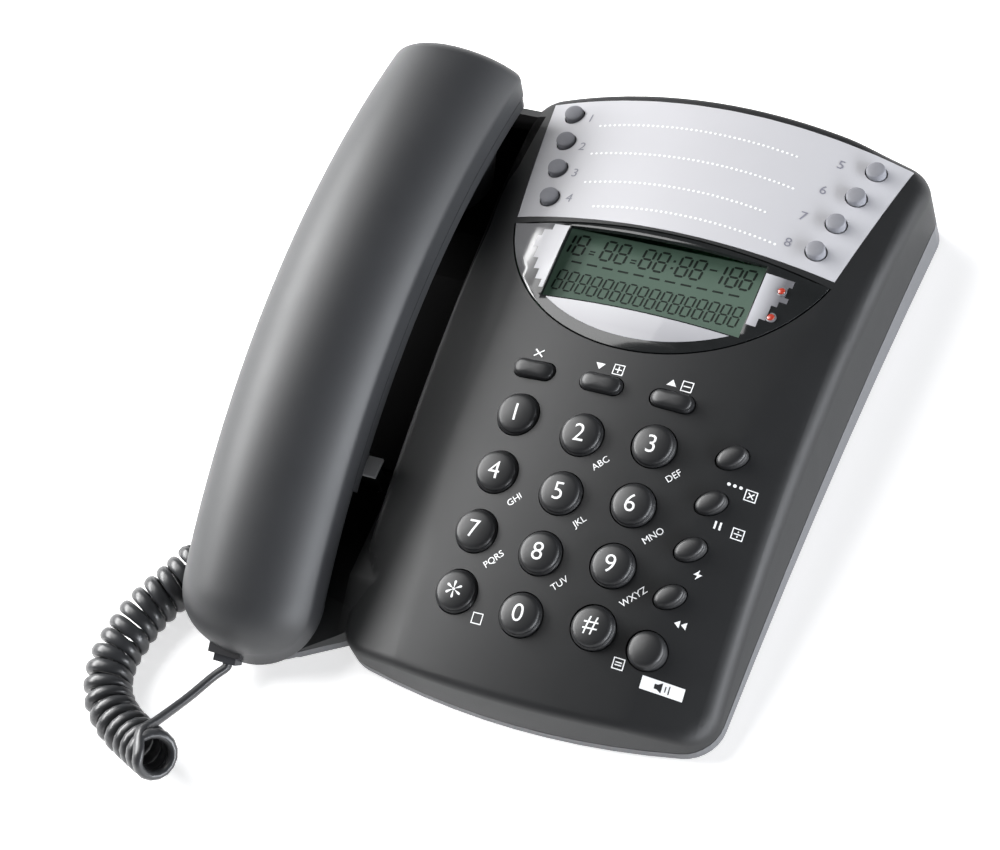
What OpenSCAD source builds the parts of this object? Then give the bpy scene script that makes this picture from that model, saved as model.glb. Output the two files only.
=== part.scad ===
// Desk telephone with caller display, a handset on its cradle and a curly handset cord.
// Millimetres, +Z up, +Y to the back. The phone stands on Z = 0.

/* [Body] */
// Half width of the body at its front corners
body_half_front = 60.8; // [58:0.2:64]
// Half width of the body at its back corners
body_half_back = 66.8; // [62:0.2:74]
// How far the front edge lies before the middle of the keypad
body_front = 53.8; // [52:0.2:60]
// How far the back edge lies behind the middle of the keypad
body_back = 151; // [149:0.5:160]
// Radius of the bowed front edge in plan
front_bow_r = 250; // [220:5:400]
// Radius of the bowed back edge in plan
back_bow_r = 420; // [300:5:600]
// Radius of the front corners in plan
front_corner_r = 12; // [9:0.5:15]
// Radius of the back corners in plan
back_corner_r = 9; // [6:0.5:12]
// Wall of the two housings
wall = 2.4; // [2:0.1:3]

/* [Face] */
// Radius of the face from front to back
face_len_r = 415; // [380:5:460]
// Radius of the face from side to side
face_crown_r = 190; // [170:5:240]
// Where the face is highest, behind the middle of the keypad
face_peak_y = 86; // [80:1:92]
// Height of the highest point of the face
face_peak_z = 45; // [44:0.5:52]

/* [Parting] */
// Height of the parting plane at the middle of the keypad
parting_z = 6.4; // [6:0.1:7.5]
// Slope of the parting plane, higher at the back
parting_tilt = 2; // [1:0.25:2.5]

/* [Cradle] */
// Left side of the cradle, left of the middle of the body
cradle_left = 108; // [106:0.5:112]
// Radius of the cradle's round front end
cradle_front_r = 21; // [19:0.5:22]
// Height of the cradle floor between the two seats
cradle_floor_z = 19; // [18:0.5:20]
// Height of the hump behind the ear cup
hump_z = 30; // [28:0.5:33]
// Thickness of the hump from front to back
hump_t = 8; // [6:0.5:10]
// Gap between a cup of the handset and its seat
seat_gap = 0.35; // [0.3:0.05:0.6]

/* [Keys] */
// Distance between key columns
key_col = 22; // [20:0.5:23]
// Distance between key rows
key_row = 18.8; // [17.6:0.2:19.6]
// How far the middle column is drawn towards the user
key_mid_drop = 2; // [0:0.25:3]
// Middle of the keypad, left of the middle of the body
key_left = 1.1; // [0:0.1:2]
// Diameter of a digit key
digit_d = 13.2; // [11:0.1:14]
// Length of a menu key
menu_l = 13.6; // [11:0.1:15]
// Width of a menu key
menu_w = 5.6; // [4.6:0.1:6.4]
// Length of an oval key
oval_l = 9.6; // [8:0.1:10.4]
// Width of an oval key
oval_w = 6.4; // [5:0.1:7]
// Turn of the oval keys from the rows
oval_turn = 38; // [20:1:50]
// Diameter of the speaker key
speaker_key_d = 11.4; // [9.5:0.1:12.4]
// Diameter of a memory button
memory_d = 6; // [5:0.1:6.6]
// How far a key stands out of the face
key_proud = 1.9; // [1.4:0.1:2.6]
// Height of the dome on a key
key_dome = 1.1; // [0.6:0.1:1.4]
// Travel of a key
key_travel = 1.2; // [0.8:0.1:1.4]
// Gap round a key in its hole
key_gap = 0.35; // [0.25:0.05:0.5]

/* [Display] */
// Half width of the label plate at its top edge
plate_half_top = 60.5; // [57:0.5:62]
// Half width of the label plate at its bottom edge
plate_half_bottom = 52.5; // [51:0.5:55]
// Thickness of the label plate
plate_t = 0.8; // [0.6:0.1:1]
// Half width of the display window
window_half = 52.3; // [50:0.1:54]
// Drop of the window's lower edge below its ends
window_drop = 39; // [36:0.5:40]
// Thickness of the display window
window_t = 1.6; // [1.2:0.1:1.8]
// Width of the display panel
panel_w = 68; // [66:0.5:72]
// Depth of the display panel
panel_d = 30; // [28:0.5:33]

/* [Handset] */
// Radius of the arched rim of the handset
handset_r = 253.6; // [250:0.2:258]
// Half width of the handset
handset_half = 22.5; // [21:0.25:23.5]
// Height of the handset's crowned back above its rim
handset_crown = 14; // [11:0.5:16]
// Side band of the upper shell below the rim
handset_band = 7; // [6:0.25:8]
// Depth of the grip below the rim
grip_depth = 12.6; // [12:0.1:13]
// Depth of the mouth end below the rim
mouth_depth = 10; // [9.6:0.1:10.4]
// Depth of the ear cup below the rim
ear_depth = 28; // [26:0.25:29]
// Wall of the handset shells
handset_wall = 2; // [1.6:0.1:2.4]

/* [Cord] */
// Diameter of the handset cord
cord_d = 3.2; // [2.8:0.1:3.4]
// Outside diameter of the curls
curl_d = 14.4; // [13.6:0.1:15]
// Number of curls
curls = 17; // [12:1:17]

/* [Feet] */
// Diameter of a rubber foot
foot_d = 12; // [9:0.5:15]
// Height of the housing above the surface it stands on
foot_h = 1.5; // [1:0.1:2]
// Distance between the wall keyholes
keyhole_span = 83; // [80:0.5:86]
// Diameter of a wall keyhole's round end
keyhole_d = 9; // [8:0.1:10]

/* [Hidden] */
$fn = 64;
eps = 0.02;
big = 400;

digit_names = ["1", "2", "3", "4", "5", "6", "7", "8", "9", "star", "0", "hash"];

// Handset placing: the rim is an arc about an axis along X
handset_x = -89;
handset_c = [82.3, -198.4];
ear_end_a = 13.6;
ear_lean = 24;
mouth_a = -29.5;
ear_cup_a = 7.4;

// Origin: middle of the phone's box on the surface it stands on
mouth_tip_y = handset_c[0] + handset_r * sin(mouth_a) - handset_half * cos(mouth_a);
origin_x = (body_half_back - max(cradle_left, handset_half - handset_x)) / 2;
origin_y = (body_back + min(mouth_tip_y, -body_front)) / 2;
module placed() { translate([-origin_x, -origin_y, 0]) children(); }

// Plan of the body: bowed ends, flared sides and round corners, drawn in by inset
function arc_pts(c, r, a0, a1, n) = [
    for (i = [0:n]) let (a = a0 + (a1 - a0) * i / n) c + r * [cos(a), sin(a)]];
front_c = [0, front_bow_r - body_front];
back_c = [0, body_back - back_bow_r];
front_corner_x = body_half_front - front_corner_r;
front_corner_y = front_c[1] - sqrt(pow(front_bow_r - front_corner_r, 2) - pow(front_corner_x, 2));
back_corner_x = body_half_back - back_corner_r;
back_corner_y = back_c[1] + sqrt(pow(back_bow_r - back_corner_r, 2) - pow(back_corner_x, 2));
front_a = atan2(front_corner_y - front_c[1], front_corner_x);
back_a = atan2(back_corner_y - back_c[1], back_corner_x);
function half_at(t) = body_half_front + (body_half_back - body_half_front) * t * t;
function right_pts(inset) = concat(
    arc_pts(front_c, front_bow_r - inset, -90, front_a, 5),
    arc_pts([front_corner_x, front_corner_y], front_corner_r - inset, front_a, 0, 7),
    [for (i = [1:6]) let (t = i / 7)
        [half_at(t) - inset, front_corner_y + t * (back_corner_y - front_corner_y)]],
    arc_pts([back_corner_x, back_corner_y], back_corner_r - inset, 0, back_a, 6),
    arc_pts(back_c, back_bow_r - inset, back_a, 90, 5));
function mirrored(p) = [for (i = [len(p) - 1:-1:0]) [-p[i][0], p[i][1]]];
function body_pts(inset) =
    let (r = right_pts(inset), n = len(r))
    concat([for (i = [1:n - 2]) if (norm(r[i] - r[i - 1]) > eps) r[i]],
           [r[n - 1]],
           [for (i = [n - 2:-1:1]) if (norm(r[i] - r[i - 1]) > eps) [-r[i][0], r[i][1]]],
           [r[0]]);
module body_plan(inset) { polygon(body_pts(inset)); }

// Plan of the cradle: a round front end under the mouth end of the handset
cradle_front_c = [cradle_front_r - cradle_left, -33.5];
cradle_right = 50;
cradle_back = 141;
cradle_corner_r = 8;
cradle_lip_x = 13;
cradle_lip_y = 4;
module cradle_plan(inset) {
    translate(cradle_front_c) circle(r = cradle_front_r - inset);
    translate([inset - cradle_left, cradle_front_c[1]])
        square([cradle_left - cradle_right - inset, cradle_back - cradle_corner_r - cradle_front_c[1]]);
    polygon([
        [cradle_front_c[0], cradle_front_c[1]],
        [cradle_front_c[0], cradle_front_c[1] - cradle_front_r + inset],
        [cradle_front_c[0] + cradle_lip_x, cradle_front_c[1] - cradle_front_r + cradle_lip_y + inset],
        [-cradle_right, cradle_front_c[1] - cradle_front_r + 4.5 * cradle_lip_y + inset],
        [-cradle_right, cradle_front_c[1]]]);
    translate([cradle_corner_r - cradle_left, cradle_back - cradle_corner_r])
        circle(r = cradle_corner_r - inset);
    translate([cradle_corner_r - cradle_left, cradle_back - 2 * cradle_corner_r])
        square([cradle_left - cradle_right - cradle_corner_r, 2 * cradle_corner_r - inset]);
}

// Top of the cradle seen from the side: mouth ramp, floor, ear ramp and hump
function seat_z(a, depth, y) =
    let (py = handset_c[0] + (handset_r - depth - seat_gap) * sin(a),
         pz = handset_c[1] + (handset_r - depth - seat_gap) * cos(a))
    pz - tan(a) * (y - py);
mouth_y = cradle_front_c[1] - cradle_front_r;
mouth_seat_y = mouth_y + (cradle_floor_z - seat_z(mouth_a, mouth_depth, mouth_y)) / tan(-mouth_a);
ear_seat_y = 92;
ear_floor_y = 80;
hump_y = cradle_back - hump_t;
module cradle_side(drop) {
    polygon([
        [mouth_y - 5, 0],
        [mouth_y - 5, seat_z(mouth_a, mouth_depth, mouth_y - 5) - drop],
        [mouth_seat_y, cradle_floor_z - drop],
        [ear_floor_y, cradle_floor_z - drop],
        [ear_seat_y, seat_z(ear_cup_a, ear_depth, ear_seat_y) - drop],
        [hump_y, seat_z(ear_cup_a, ear_depth, hump_y) - drop],
        [hump_y + (drop > 0 ? drop : eps), hump_z - drop],
        [cradle_back + 5, hump_z - drop],
        [cradle_back + 5, 0]]);
}
module cradle_block(inset, drop) {
    intersection() {
        linear_extrude(height = 60) cradle_plan(inset);
        translate([-cradle_left - 5, 0, 0]) rotate([90, 0, 90])
            linear_extrude(height = cradle_left + 5 - cradle_right) cradle_side(drop);
    }
}

// The doubly bowed face, lowered by depth
module crown(depth) {
    translate([0, face_peak_y, face_peak_z - face_len_r]) rotate([0, 90, 0]) rotate([0, 0, 150])
        rotate_extrude(angle = 60, $fn = 180)
            intersection() {
                translate([face_len_r - face_crown_r, 0]) circle(r = face_crown_r - depth, $fn = 180);
                translate([face_len_r - 100, -90]) square([110, 180]);
            }
}
face_axis_z = face_peak_z - face_len_r;
key_tilt = asin(face_peak_y / face_len_r);
display_s = 105;
display_tilt = key_tilt - display_s / face_len_r * 180 / PI;
// Frame of the keypad: on the face at Y = 0, Z square to the face
module key_frame() {
    translate([0, 0, face_axis_z + face_len_r * cos(key_tilt)]) rotate([key_tilt, 0, 0]) children();
}
// Frame of the display: on the face behind the keypad, nearly level
module display_frame() {
    translate([0, face_peak_y - face_len_r * sin(display_tilt), face_axis_z + face_len_r * cos(display_tilt)])
        rotate([display_tilt, 0, 0]) children();
}
function face_drop(p) =
    (face_crown_r - sqrt(face_crown_r * face_crown_r - p[0] * p[0]))
    + (face_len_r - sqrt(face_len_r * face_len_r - p[1] * p[1]));

// Places of the keys in the keypad frame and of the memory buttons in the display frame
function digit_at(i) =
    let (c = i % 3, r = floor(i / 3))
    [(c - 1) * key_col - key_left, (1.5 - r) * key_row - (c == 1 ? key_mid_drop : 0) - 0.2];
menu_row = 43;
function menu_at(i) = [(i - 1) * (key_col + 0.4) - key_left, menu_row];
oval_first = [43.4, 31.1];
oval_step = [-1.4, -14.9];
function oval_at(i) = oval_first + i * oval_step;
speaker_key_at = [37.5, -30.3];
memory_first = [44.1, -0.2];
memory_step = [2.2, 11.6];
function memory_at(i) =
    let (p = memory_first + (3 - i % 4) * memory_step)
    [i < 4 ? -p[0] : p[0], p[1]];

// Levels below the face at the keypad's and the display's middle
key_boss_z = -10.4;
flange_t = 1;
flange_out = 1.3;
boss_wall = 1.2;
boss_gap = 0.2;
key_mat_t = 1;
key_mat_in = 4.5;
board_t = 1.6;
press_gap = 0.3;
key_mat_z = key_boss_z - boss_gap - flange_t - key_travel - press_gap;
key_board_z = key_mat_z - key_mat_t;
memory_boss_z = -12.6;
memory_mat_z = memory_boss_z - boss_gap - flange_t - key_travel - press_gap;
display_board_z = memory_mat_z - key_mat_t;

// Outlines of the keys, grown by g
module digit_shape(g) { circle(d = digit_d + 2 * g); }
module menu_shape(g) {
    square([menu_l - menu_w, menu_w + 2 * g], center = true);
    for (s = [-1, 1]) translate([s * (menu_l - menu_w) / 2, 0]) circle(d = menu_w + 2 * g);
}
module oval_shape(g) {
    rotate(oval_turn)
        polygon([for (a = [0:12:348]) [(oval_l / 2 + g) * cos(a), (oval_w / 2 + g) * sin(a)]]);
}
module speaker_shape(g) { circle(d = speaker_key_d + 2 * g); }
module memory_shape(g) { circle(d = memory_d + 2 * g); }

// A key: shaft through the face with a domed top, and a flange below the boss
module key_body(p, boss_z, reach, dome) {
    top = key_proud - face_drop(p);
    dome_r = (reach * reach + dome * dome) / (2 * dome);
    translate([p[0], p[1], 0]) {
        intersection() {
            translate([0, 0, boss_z - boss_gap - flange_t]) linear_extrude(height = 40) children(0);
            translate([0, 0, top + dome - dome_r]) sphere(r = dome_r, $fn = 128);
        }
        translate([0, 0, boss_z - boss_gap - flange_t]) linear_extrude(height = flange_t) children(1);
    }
}
module digit_key(i) {
    color([0.09, 0.09, 0.1]) placed() key_frame()
        key_body(digit_at(i), key_boss_z, digit_d / 2, key_dome) {
            digit_shape(0);
            digit_shape(flange_out);
        }
}
module menu_key(i) {
    color([0.09, 0.09, 0.1]) placed() key_frame()
        key_body(menu_at(i), key_boss_z, menu_l / 2, key_dome * 0.7) {
            menu_shape(0);
            menu_shape(flange_out);
        }
}
module oval_key(i) {
    color([0.09, 0.09, 0.1]) placed() key_frame()
        key_body(oval_at(i), key_boss_z, oval_l / 2, key_dome) {
            oval_shape(0);
            oval_shape(flange_out);
        }
}
module speaker_key() {
    color([0.09, 0.09, 0.1]) placed() key_frame()
        key_body(speaker_key_at, key_boss_z, speaker_key_d / 2, key_dome) {
            speaker_shape(0);
            speaker_shape(flange_out);
        }
}
module memory_button(i) {
    color([0.33, 0.34, 0.36]) placed() display_frame()
        key_body(memory_at(i), memory_boss_z, memory_d / 2, key_dome * 0.4) {
            memory_shape(0);
            memory_shape(flange_out);
        }
}
// All key outlines at their places, grown by g, for holes and bosses
module keypad_shapes(g) {
    for (i = [0:11]) translate(digit_at(i)) digit_shape(g);
    for (i = [0:2]) translate(menu_at(i)) menu_shape(g);
    for (i = [0:3]) translate(oval_at(i)) oval_shape(g);
    translate(speaker_key_at) speaker_shape(g);
}
module memory_shapes(g) {
    for (i = [0:7]) translate(memory_at(i)) memory_shape(g);
}

// Outlines of the label plate and the window in the display frame
plate_top_y = 39.9;
plate_top_bow = 3.4;
plate_bottom_y = -8;
plate_bow = 1.3;
window_end_y = -10.6;
window_top_bow = 2.8;
window_ledge = 2;
trim_gap = 0.15;
function bow_pts(half, y, bow, n) =
    [for (i = [0:n]) let (u = 2 * i / n - 1) [u * half, y + bow * (1 - u * u)]];
function reversed(p) = [for (i = [len(p) - 1:-1:0]) p[i]];
module plate_shape(g) {
    polygon(concat(
        [[-plate_half_bottom - g, plate_bottom_y - g]],
        bow_pts(plate_half_bottom, plate_bottom_y - g, plate_bow, 10),
        [[plate_half_bottom + g, plate_bottom_y - g]],
        reversed(bow_pts(plate_half_top + g, plate_top_y + g, plate_top_bow, 10))));
}
window_r = (window_half * window_half + window_drop * window_drop) / (2 * window_drop);
module window_shape(g) {
    intersection() {
        translate([0, window_end_y - window_drop + window_r]) circle(r = window_r + g, $fn = 96);
        polygon(concat(
            [[-window_half - 8, -90], [window_half + 8, -90]],
            [for (u = [1.1:-0.2:-1.1])
                [u * window_half, window_end_y + g + window_top_bow * (1 - u * u)]]));
    }
}

// Boards, lamps and panel
main_board_lo = [-38, -43];
main_board_hi = [48.5, 51.5];
display_board_half = 56;
display_board_lo = -41;
display_board_hi = 38.5;
panel_y = -23;
panel_t = 2.8;
panel_top_z = -7.6;
// Opening of the window in front of the display panel
view_w = panel_w - 3.2;
view_d = panel_d - 4.2;
view_at = [0.4, panel_y - 0.1];
lamp_side = 5.4;
lamp_x = panel_w / 2 + lamp_side;
lamp_d = 3;
lamp_base_d = lamp_d + 0.8;
lamp_ys = [-17, -26.4];

// Posts that join the two housings, and posts that carry the boards
post_r = 3.4;
pilot_r = 1.25;
screw_r = 1.5;
screw_play = 0.3;
head_r = 2.9;
head_h = 2;
post_side = 6;
front_post_side = 8.4;
front_post_x = body_half_front - front_post_side;
back_post_x = body_half_back - post_side;
housing_posts = [
    [front_post_x, -37], [-front_post_x, -37], [back_post_x, 128], [-back_post_x, 128], [-98, 62]];
main_posts = [[-34, -39.5], [33, 33.8], [-34, 33.8], [27.5, -39.5]];
display_posts = [[-53, -37.5], [53, -37.5], [-30, 30], [30, 30]];
board_post_r = 2.6;
board_pilot_r = 0.9;
board_screw_r = 0.85;

// Parting plane between the housings
module above_parting() {
    translate([0, 0, parting_z]) rotate([parting_tilt, 0, 0])
        translate([-big / 2, -big / 2, 0]) cube([big, big, big / 2]);
}
module below_parting() {
    translate([0, 0, parting_z]) rotate([parting_tilt, 0, 0])
        translate([-big / 2, -big / 2, -big / 2]) cube([big, big, big / 2]);
}
function parting_at(y) = parting_z + y * tan(parting_tilt);

// Hook plunger: a slot in the cradle floor beside the body
hook_x = -71.1;
hook_y = 5.5;
hook_l = 15.8;
hook_w = 7.6;
hook_top_z = 26.5;
hook_gap = 0.4;
hook_stem_d = 5;
hook_foot_z = 10.5;

// Handset jack on the left of the cradle, line jack at the back
jack_w = 11;
jack_h = 7;
jack_l = 14;
base_jack_y = -12;
line_jack_x = 34;
line_jack_w = 13;
line_jack_l = 14;
line_jack_h = 7.6;
line_socket_w = 9.8;
line_socket_h = 5.2;
jack_fit = 0.2;

floor_t = 2.5;
floor_z = foot_h + floor_t;
jack_z = floor_z + jack_fit + 0.05;

module housing_outer(inset, drop) {
    intersection() {
        linear_extrude(height = 70) body_plan(inset);
        crown(drop);
    }
}
module top_housing() {
    color([0.12, 0.125, 0.13]) placed() difference() {
        union() {
            difference() {
                union() {
                    housing_outer(0, 0);
                    cradle_block(0, 0);
                }
                housing_outer(wall, wall);
                cradle_block(wall, wall);
            }
            intersection() {
                crown(1);
                union() {
                    key_frame() translate([0, 0, key_boss_z]) linear_extrude(height = 30)
                        keypad_shapes(key_gap + boss_wall);
                    display_frame() translate([0, 0, memory_boss_z]) linear_extrude(height = 40)
                        memory_shapes(key_gap + boss_wall);
                    key_frame() for (p = main_posts)
                        translate([p[0], p[1], key_board_z]) cylinder(r = board_post_r, h = 40);
                    display_frame() for (p = display_posts)
                        translate([p[0], p[1], display_board_z]) cylinder(r = board_post_r, h = 40);
                    for (i = [0:3]) translate([housing_posts[i][0], housing_posts[i][1], 0])
                        cylinder(r = post_r, h = 70);
                }
            }
            translate([housing_posts[4][0], housing_posts[4][1], 0])
                cylinder(r = post_r, h = cradle_floor_z - wall / 2);
        }
        below_parting();
        display_frame() linear_extrude(height = 40, center = true) {
            memory_shapes(key_gap);
            window_shape(-window_ledge);
            for (y = lamp_ys) translate([lamp_x, y]) circle(d = lamp_base_d + 2 * trim_gap);
        }
        key_frame() linear_extrude(height = 80, center = true) keypad_shapes(key_gap);
        difference() {
            display_frame() linear_extrude(height = 60, center = true) plate_shape(trim_gap);
            crown(plate_t);
        }
        difference() {
            display_frame() linear_extrude(height = 60, center = true) window_shape(trim_gap);
            crown(window_t);
        }
        for (p = housing_posts) translate([p[0], p[1], 0])
            cylinder(r = pilot_r, h = parting_at(p[1]) + 8);
        key_frame() for (p = main_posts)
            translate([p[0], p[1], key_board_z - 1]) cylinder(r = board_pilot_r, h = 5);
        display_frame() for (p = display_posts)
            translate([p[0], p[1], display_board_z - 1]) cylinder(r = board_pilot_r, h = 5);
        translate([hook_x, hook_y, cradle_floor_z])
            cube([hook_l + 2 * hook_gap, hook_w + 2 * hook_gap, 12], center = true);
        base_jack_space(jack_fit);
        line_jack_space(jack_fit);
    }
}

// Room for the two jacks, let into the walls
module base_jack_space(g) {
    translate([-cradle_left - 5, base_jack_y - jack_w / 2 - g, jack_z - g])
        cube([5 + wall + jack_l + g, jack_w + 2 * g, jack_h + 2 * g]);
}
module line_jack_space(g) {
    translate([line_jack_x - line_jack_w / 2 - g, body_back - line_jack_l - wall - g, jack_z - g])
        cube([line_jack_w + 2 * g, line_jack_l + wall + 6, line_jack_h + 2 * g]);
}

speaker_c = [8, 100];
speaker_d = 50;
speaker_h = 17;
grille_slots = 7;
grille_pitch = 6;
keyhole_y = 10;
keyhole_slot_w = 4.4;
keyhole_slot_l = 9;
keyhole_x = 0;
feet_at = [[40, -32], [-40, -32], [48, 128], [-48, 128], [-92, -18], [-92, 130]];
foot_sink = 1;
module bottom_housing() {
    color([0.16, 0.165, 0.175]) placed() difference() {
        union() {
            intersection() {
                translate([0, 0, foot_h]) linear_extrude(height = 40) {
                    body_plan(0);
                    cradle_plan(0);
                }
                below_parting();
                union() {
                    housing_outer(0, 0);
                    cradle_block(0, 0);
                }
            }
        }
        difference() {
            translate([0, 0, floor_z]) linear_extrude(height = 40) {
                body_plan(wall);
                cradle_plan(wall);
            }
            for (p = housing_posts) translate([p[0], p[1], 0])
                cylinder(r = post_r, h = 40);
            translate([speaker_c[0], speaker_c[1], 0]) speaker_ring();
            translate([hook_x, hook_y, 0]) cylinder(d = hook_stem_d + 4, h = floor_z + 1);
        }
        for (p = housing_posts) translate([p[0], p[1], 0]) {
            cylinder(r = screw_r + 0.2, h = 40);
            cylinder(r = head_r + 0.3, h = foot_h + head_h);
        }
        for (p = feet_at) translate([p[0], p[1], 0])
            cylinder(d = foot_d + 2 * trim_gap, h = foot_h + foot_sink);
        for (i = [0:grille_slots - 1]) let (
            u = (i - (grille_slots - 1) / 2) * grille_pitch,
            l = 2 * sqrt(pow(speaker_d / 2 - 4, 2) - u * u))
            translate([speaker_c[0], speaker_c[1] + u, floor_z / 2])
                cube([l, 2, floor_z * 2], center = true);
        for (s = [-1, 1]) translate([keyhole_x, keyhole_y + s * keyhole_span / 2, 0]) {
            cylinder(d = keyhole_d, h = floor_z + 1);
            translate([-keyhole_slot_w / 2, 0, 0]) cube([keyhole_slot_w, keyhole_slot_l, floor_z + 1]);
        }
        base_jack_space(jack_fit);
        line_jack_space(jack_fit);
    }
}
// Low ring that locates the loudspeaker
module speaker_ring() {
    difference() {
        cylinder(d = speaker_d + 4, h = floor_z + 4);
        cylinder(d = speaker_d + 2 * trim_gap, h = 60);
    }
}
module rubber_feet() {
    color([0.05, 0.05, 0.05]) placed()
        for (p = feet_at) translate([p[0], p[1], 0])
            cylinder(d = foot_d, h = foot_h + foot_sink - trim_gap);
}
module housing_screws() {
    color([0.6, 0.6, 0.62]) placed()
        for (p = housing_posts) translate([p[0], p[1], foot_h + head_h]) {
            translate([0, 0, -head_h]) cylinder(r = head_r, h = head_h);
            cylinder(r = screw_r - screw_play, h = parting_at(p[1]) + 5 - foot_h - head_h);
        }
}
module label_plate() {
    color([0.88, 0.88, 0.9]) placed() difference() {
        intersection() {
            display_frame() linear_extrude(height = 60, center = true) plate_shape(0);
            crown(0);
        }
        crown(plate_t);
        display_frame() linear_extrude(height = 60, center = true) memory_shapes(key_gap + 0.1);
    }
}
module display_window() {
    color([0.08, 0.09, 0.09]) placed() difference() {
        intersection() {
            display_frame() linear_extrude(height = 60, center = true) window_shape(0);
            crown(0);
        }
        crown(window_t);
        display_frame() translate([view_at[0], view_at[1], 0]) cube([view_w, view_d, 60], center = true);
    }
}
module display_panel() {
    color([0.42, 0.55, 0.45]) placed() display_frame()
        translate([-panel_w / 2, panel_y - panel_d / 2, panel_top_z - panel_t])
            cube([panel_w, panel_d, panel_t]);
}
module panel_holder() {
    color([0.75, 0.75, 0.72]) placed() display_frame() difference() {
        translate([-panel_w / 2, panel_y - panel_d / 2, display_board_z])
            cube([panel_w, panel_d, panel_top_z - panel_t - display_board_z]);
        translate([3 - panel_w / 2, panel_y + 3 - panel_d / 2, display_board_z + 1.5])
            cube([panel_w - 6, panel_d - 6, 20]);
    }
}
module call_lamps() {
    color([0.8, 0.1, 0.08]) placed() display_frame()
        for (y = lamp_ys) translate([lamp_x, y, display_board_z]) {
            cylinder(d = lamp_d, h = panel_top_z - display_board_z - lamp_d / 2);
            translate([0, 0, panel_top_z - display_board_z - lamp_d / 2]) sphere(d = lamp_d);
            cylinder(d = lamp_base_d, h = 1);
        }
}
module display_board() {
    color([0.1, 0.3, 0.16]) placed() display_frame() difference() {
        translate([-display_board_half, display_board_lo, display_board_z - board_t])
            cube([2 * display_board_half, display_board_hi - display_board_lo, board_t]);
        for (p = display_posts) translate([p[0], p[1], display_board_z - 3])
            cylinder(r = board_screw_r + 0.25, h = 6);
    }
}
// Rubber strips under the two rows of memory buttons
memory_mat_x = 47.5;
memory_mat_y = -6;
memory_mat_w = 15;
memory_mat_l = 44;
module memory_mat() {
    color([0.6, 0.6, 0.6]) placed() display_frame()
        for (s = [-1, 1])
            translate([s * memory_mat_x - memory_mat_w / 2, memory_mat_y, display_board_z])
                cube([memory_mat_w, memory_mat_l, key_mat_t]);
}
module main_board() {
    color([0.1, 0.3, 0.16]) placed() key_frame() difference() {
        translate([main_board_lo[0], main_board_lo[1], key_board_z - board_t])
            cube([main_board_hi[0] - main_board_lo[0], main_board_hi[1] - main_board_lo[1], board_t]);
        for (p = main_posts) translate([p[0], p[1], key_board_z - 3])
            cylinder(r = board_screw_r + 0.25, h = 6);
    }
}
module key_mat() {
    color([0.6, 0.6, 0.6]) placed() key_frame() difference() {
        translate([main_board_lo[0] + key_mat_in, main_board_lo[1] + key_mat_in, key_board_z])
            cube([main_board_hi[0] - main_board_lo[0] - key_mat_in - 1,
                  main_board_hi[1] - main_board_lo[1] - key_mat_in - 1, key_mat_t]);
        for (p = main_posts) translate([p[0], p[1], key_board_z - 1])
            cylinder(r = board_post_r + 0.4, h = 4);
    }
}
module board_screw() {
    translate([0, 0, -1.4]) cylinder(r = 1.8, h = 1.4);
    cylinder(r = board_screw_r - 0.1, h = board_t + 3.5);
}
module board_screws() {
    color([0.6, 0.6, 0.62]) placed() {
        key_frame() for (p = main_posts) translate([p[0], p[1], key_board_z - board_t]) board_screw();
        display_frame() for (p = display_posts)
            translate([p[0], p[1], display_board_z - board_t]) board_screw();
    }
}
module loudspeaker() {
    color([0.2, 0.2, 0.22]) placed() translate([speaker_c[0], speaker_c[1], floor_z]) difference() {
        union() {
            cylinder(d = speaker_d, h = 3);
            cylinder(d1 = speaker_d - 4, d2 = 24, h = 10);
            cylinder(d = 24, h = speaker_h);
        }
        translate([0, 0, -eps]) cylinder(d1 = speaker_d - 8, d2 = 12, h = 8);
    }
}
// Plunger cap over a stem that a coil spring lifts
module hook_plunger() {
    color([0.55, 0.55, 0.56]) placed() translate([hook_x, hook_y, 0]) {
        translate([-hook_l / 2, -hook_w / 2, cradle_floor_z - 6])
            cube([hook_l, hook_w, hook_top_z - cradle_floor_z + 6]);
        translate([0, 0, hook_foot_z]) cylinder(d = hook_stem_d, h = 4);
        translate([-hook_l / 2 - 2, -hook_w / 2, cradle_floor_z - 6]) cube([hook_l + 4, hook_w, 0.4]);
    }
}
spring_d = 7;
spring_wire = 0.8;
spring_turns = 4;
module hook_spring() { color([0.7, 0.7, 0.72]) placed() translate([hook_x, hook_y, 0]) spring_form(); }
module hook_switch() {
    color([0.1, 0.1, 0.12]) placed() translate([hook_x - hook_l / 2 - 1.5, hook_y, floor_z]) {
        translate([-4, -5, 0]) cube([8, 10, cradle_floor_z - 6 - press_gap - floor_z]);
    }
}
module jack_block(w, l, h, sw, sh, depth) {
    difference() {
        translate([-w / 2, 0, 0]) cube([w, l, h]);
        translate([-sw / 2, -eps, (h - sh) / 2]) cube([sw, depth + eps, sh]);
    }
}
plug_w = 7.6;
plug_h = 4.6;
plug_l = 11;
plug_in = 8.6;
plug_fit = 0.2;
module base_jack() {
    color([0.1, 0.1, 0.11]) placed() translate([wall - cradle_left, base_jack_y, jack_z]) rotate([0, 0, -90])
        translate([0, -wall + 0.6, 0])
            jack_block(jack_w, jack_l + wall - 0.6, jack_h,
                       plug_w + 2 * plug_fit, plug_h + 2 * plug_fit, plug_in + plug_fit);
}
module line_jack() {
    color([0.1, 0.1, 0.11]) placed() translate([line_jack_x, body_back - 2, jack_z]) rotate([0, 0, 180])
        jack_block(line_jack_w, line_jack_l, line_jack_h, line_socket_w, line_socket_h, 11);
}

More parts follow.
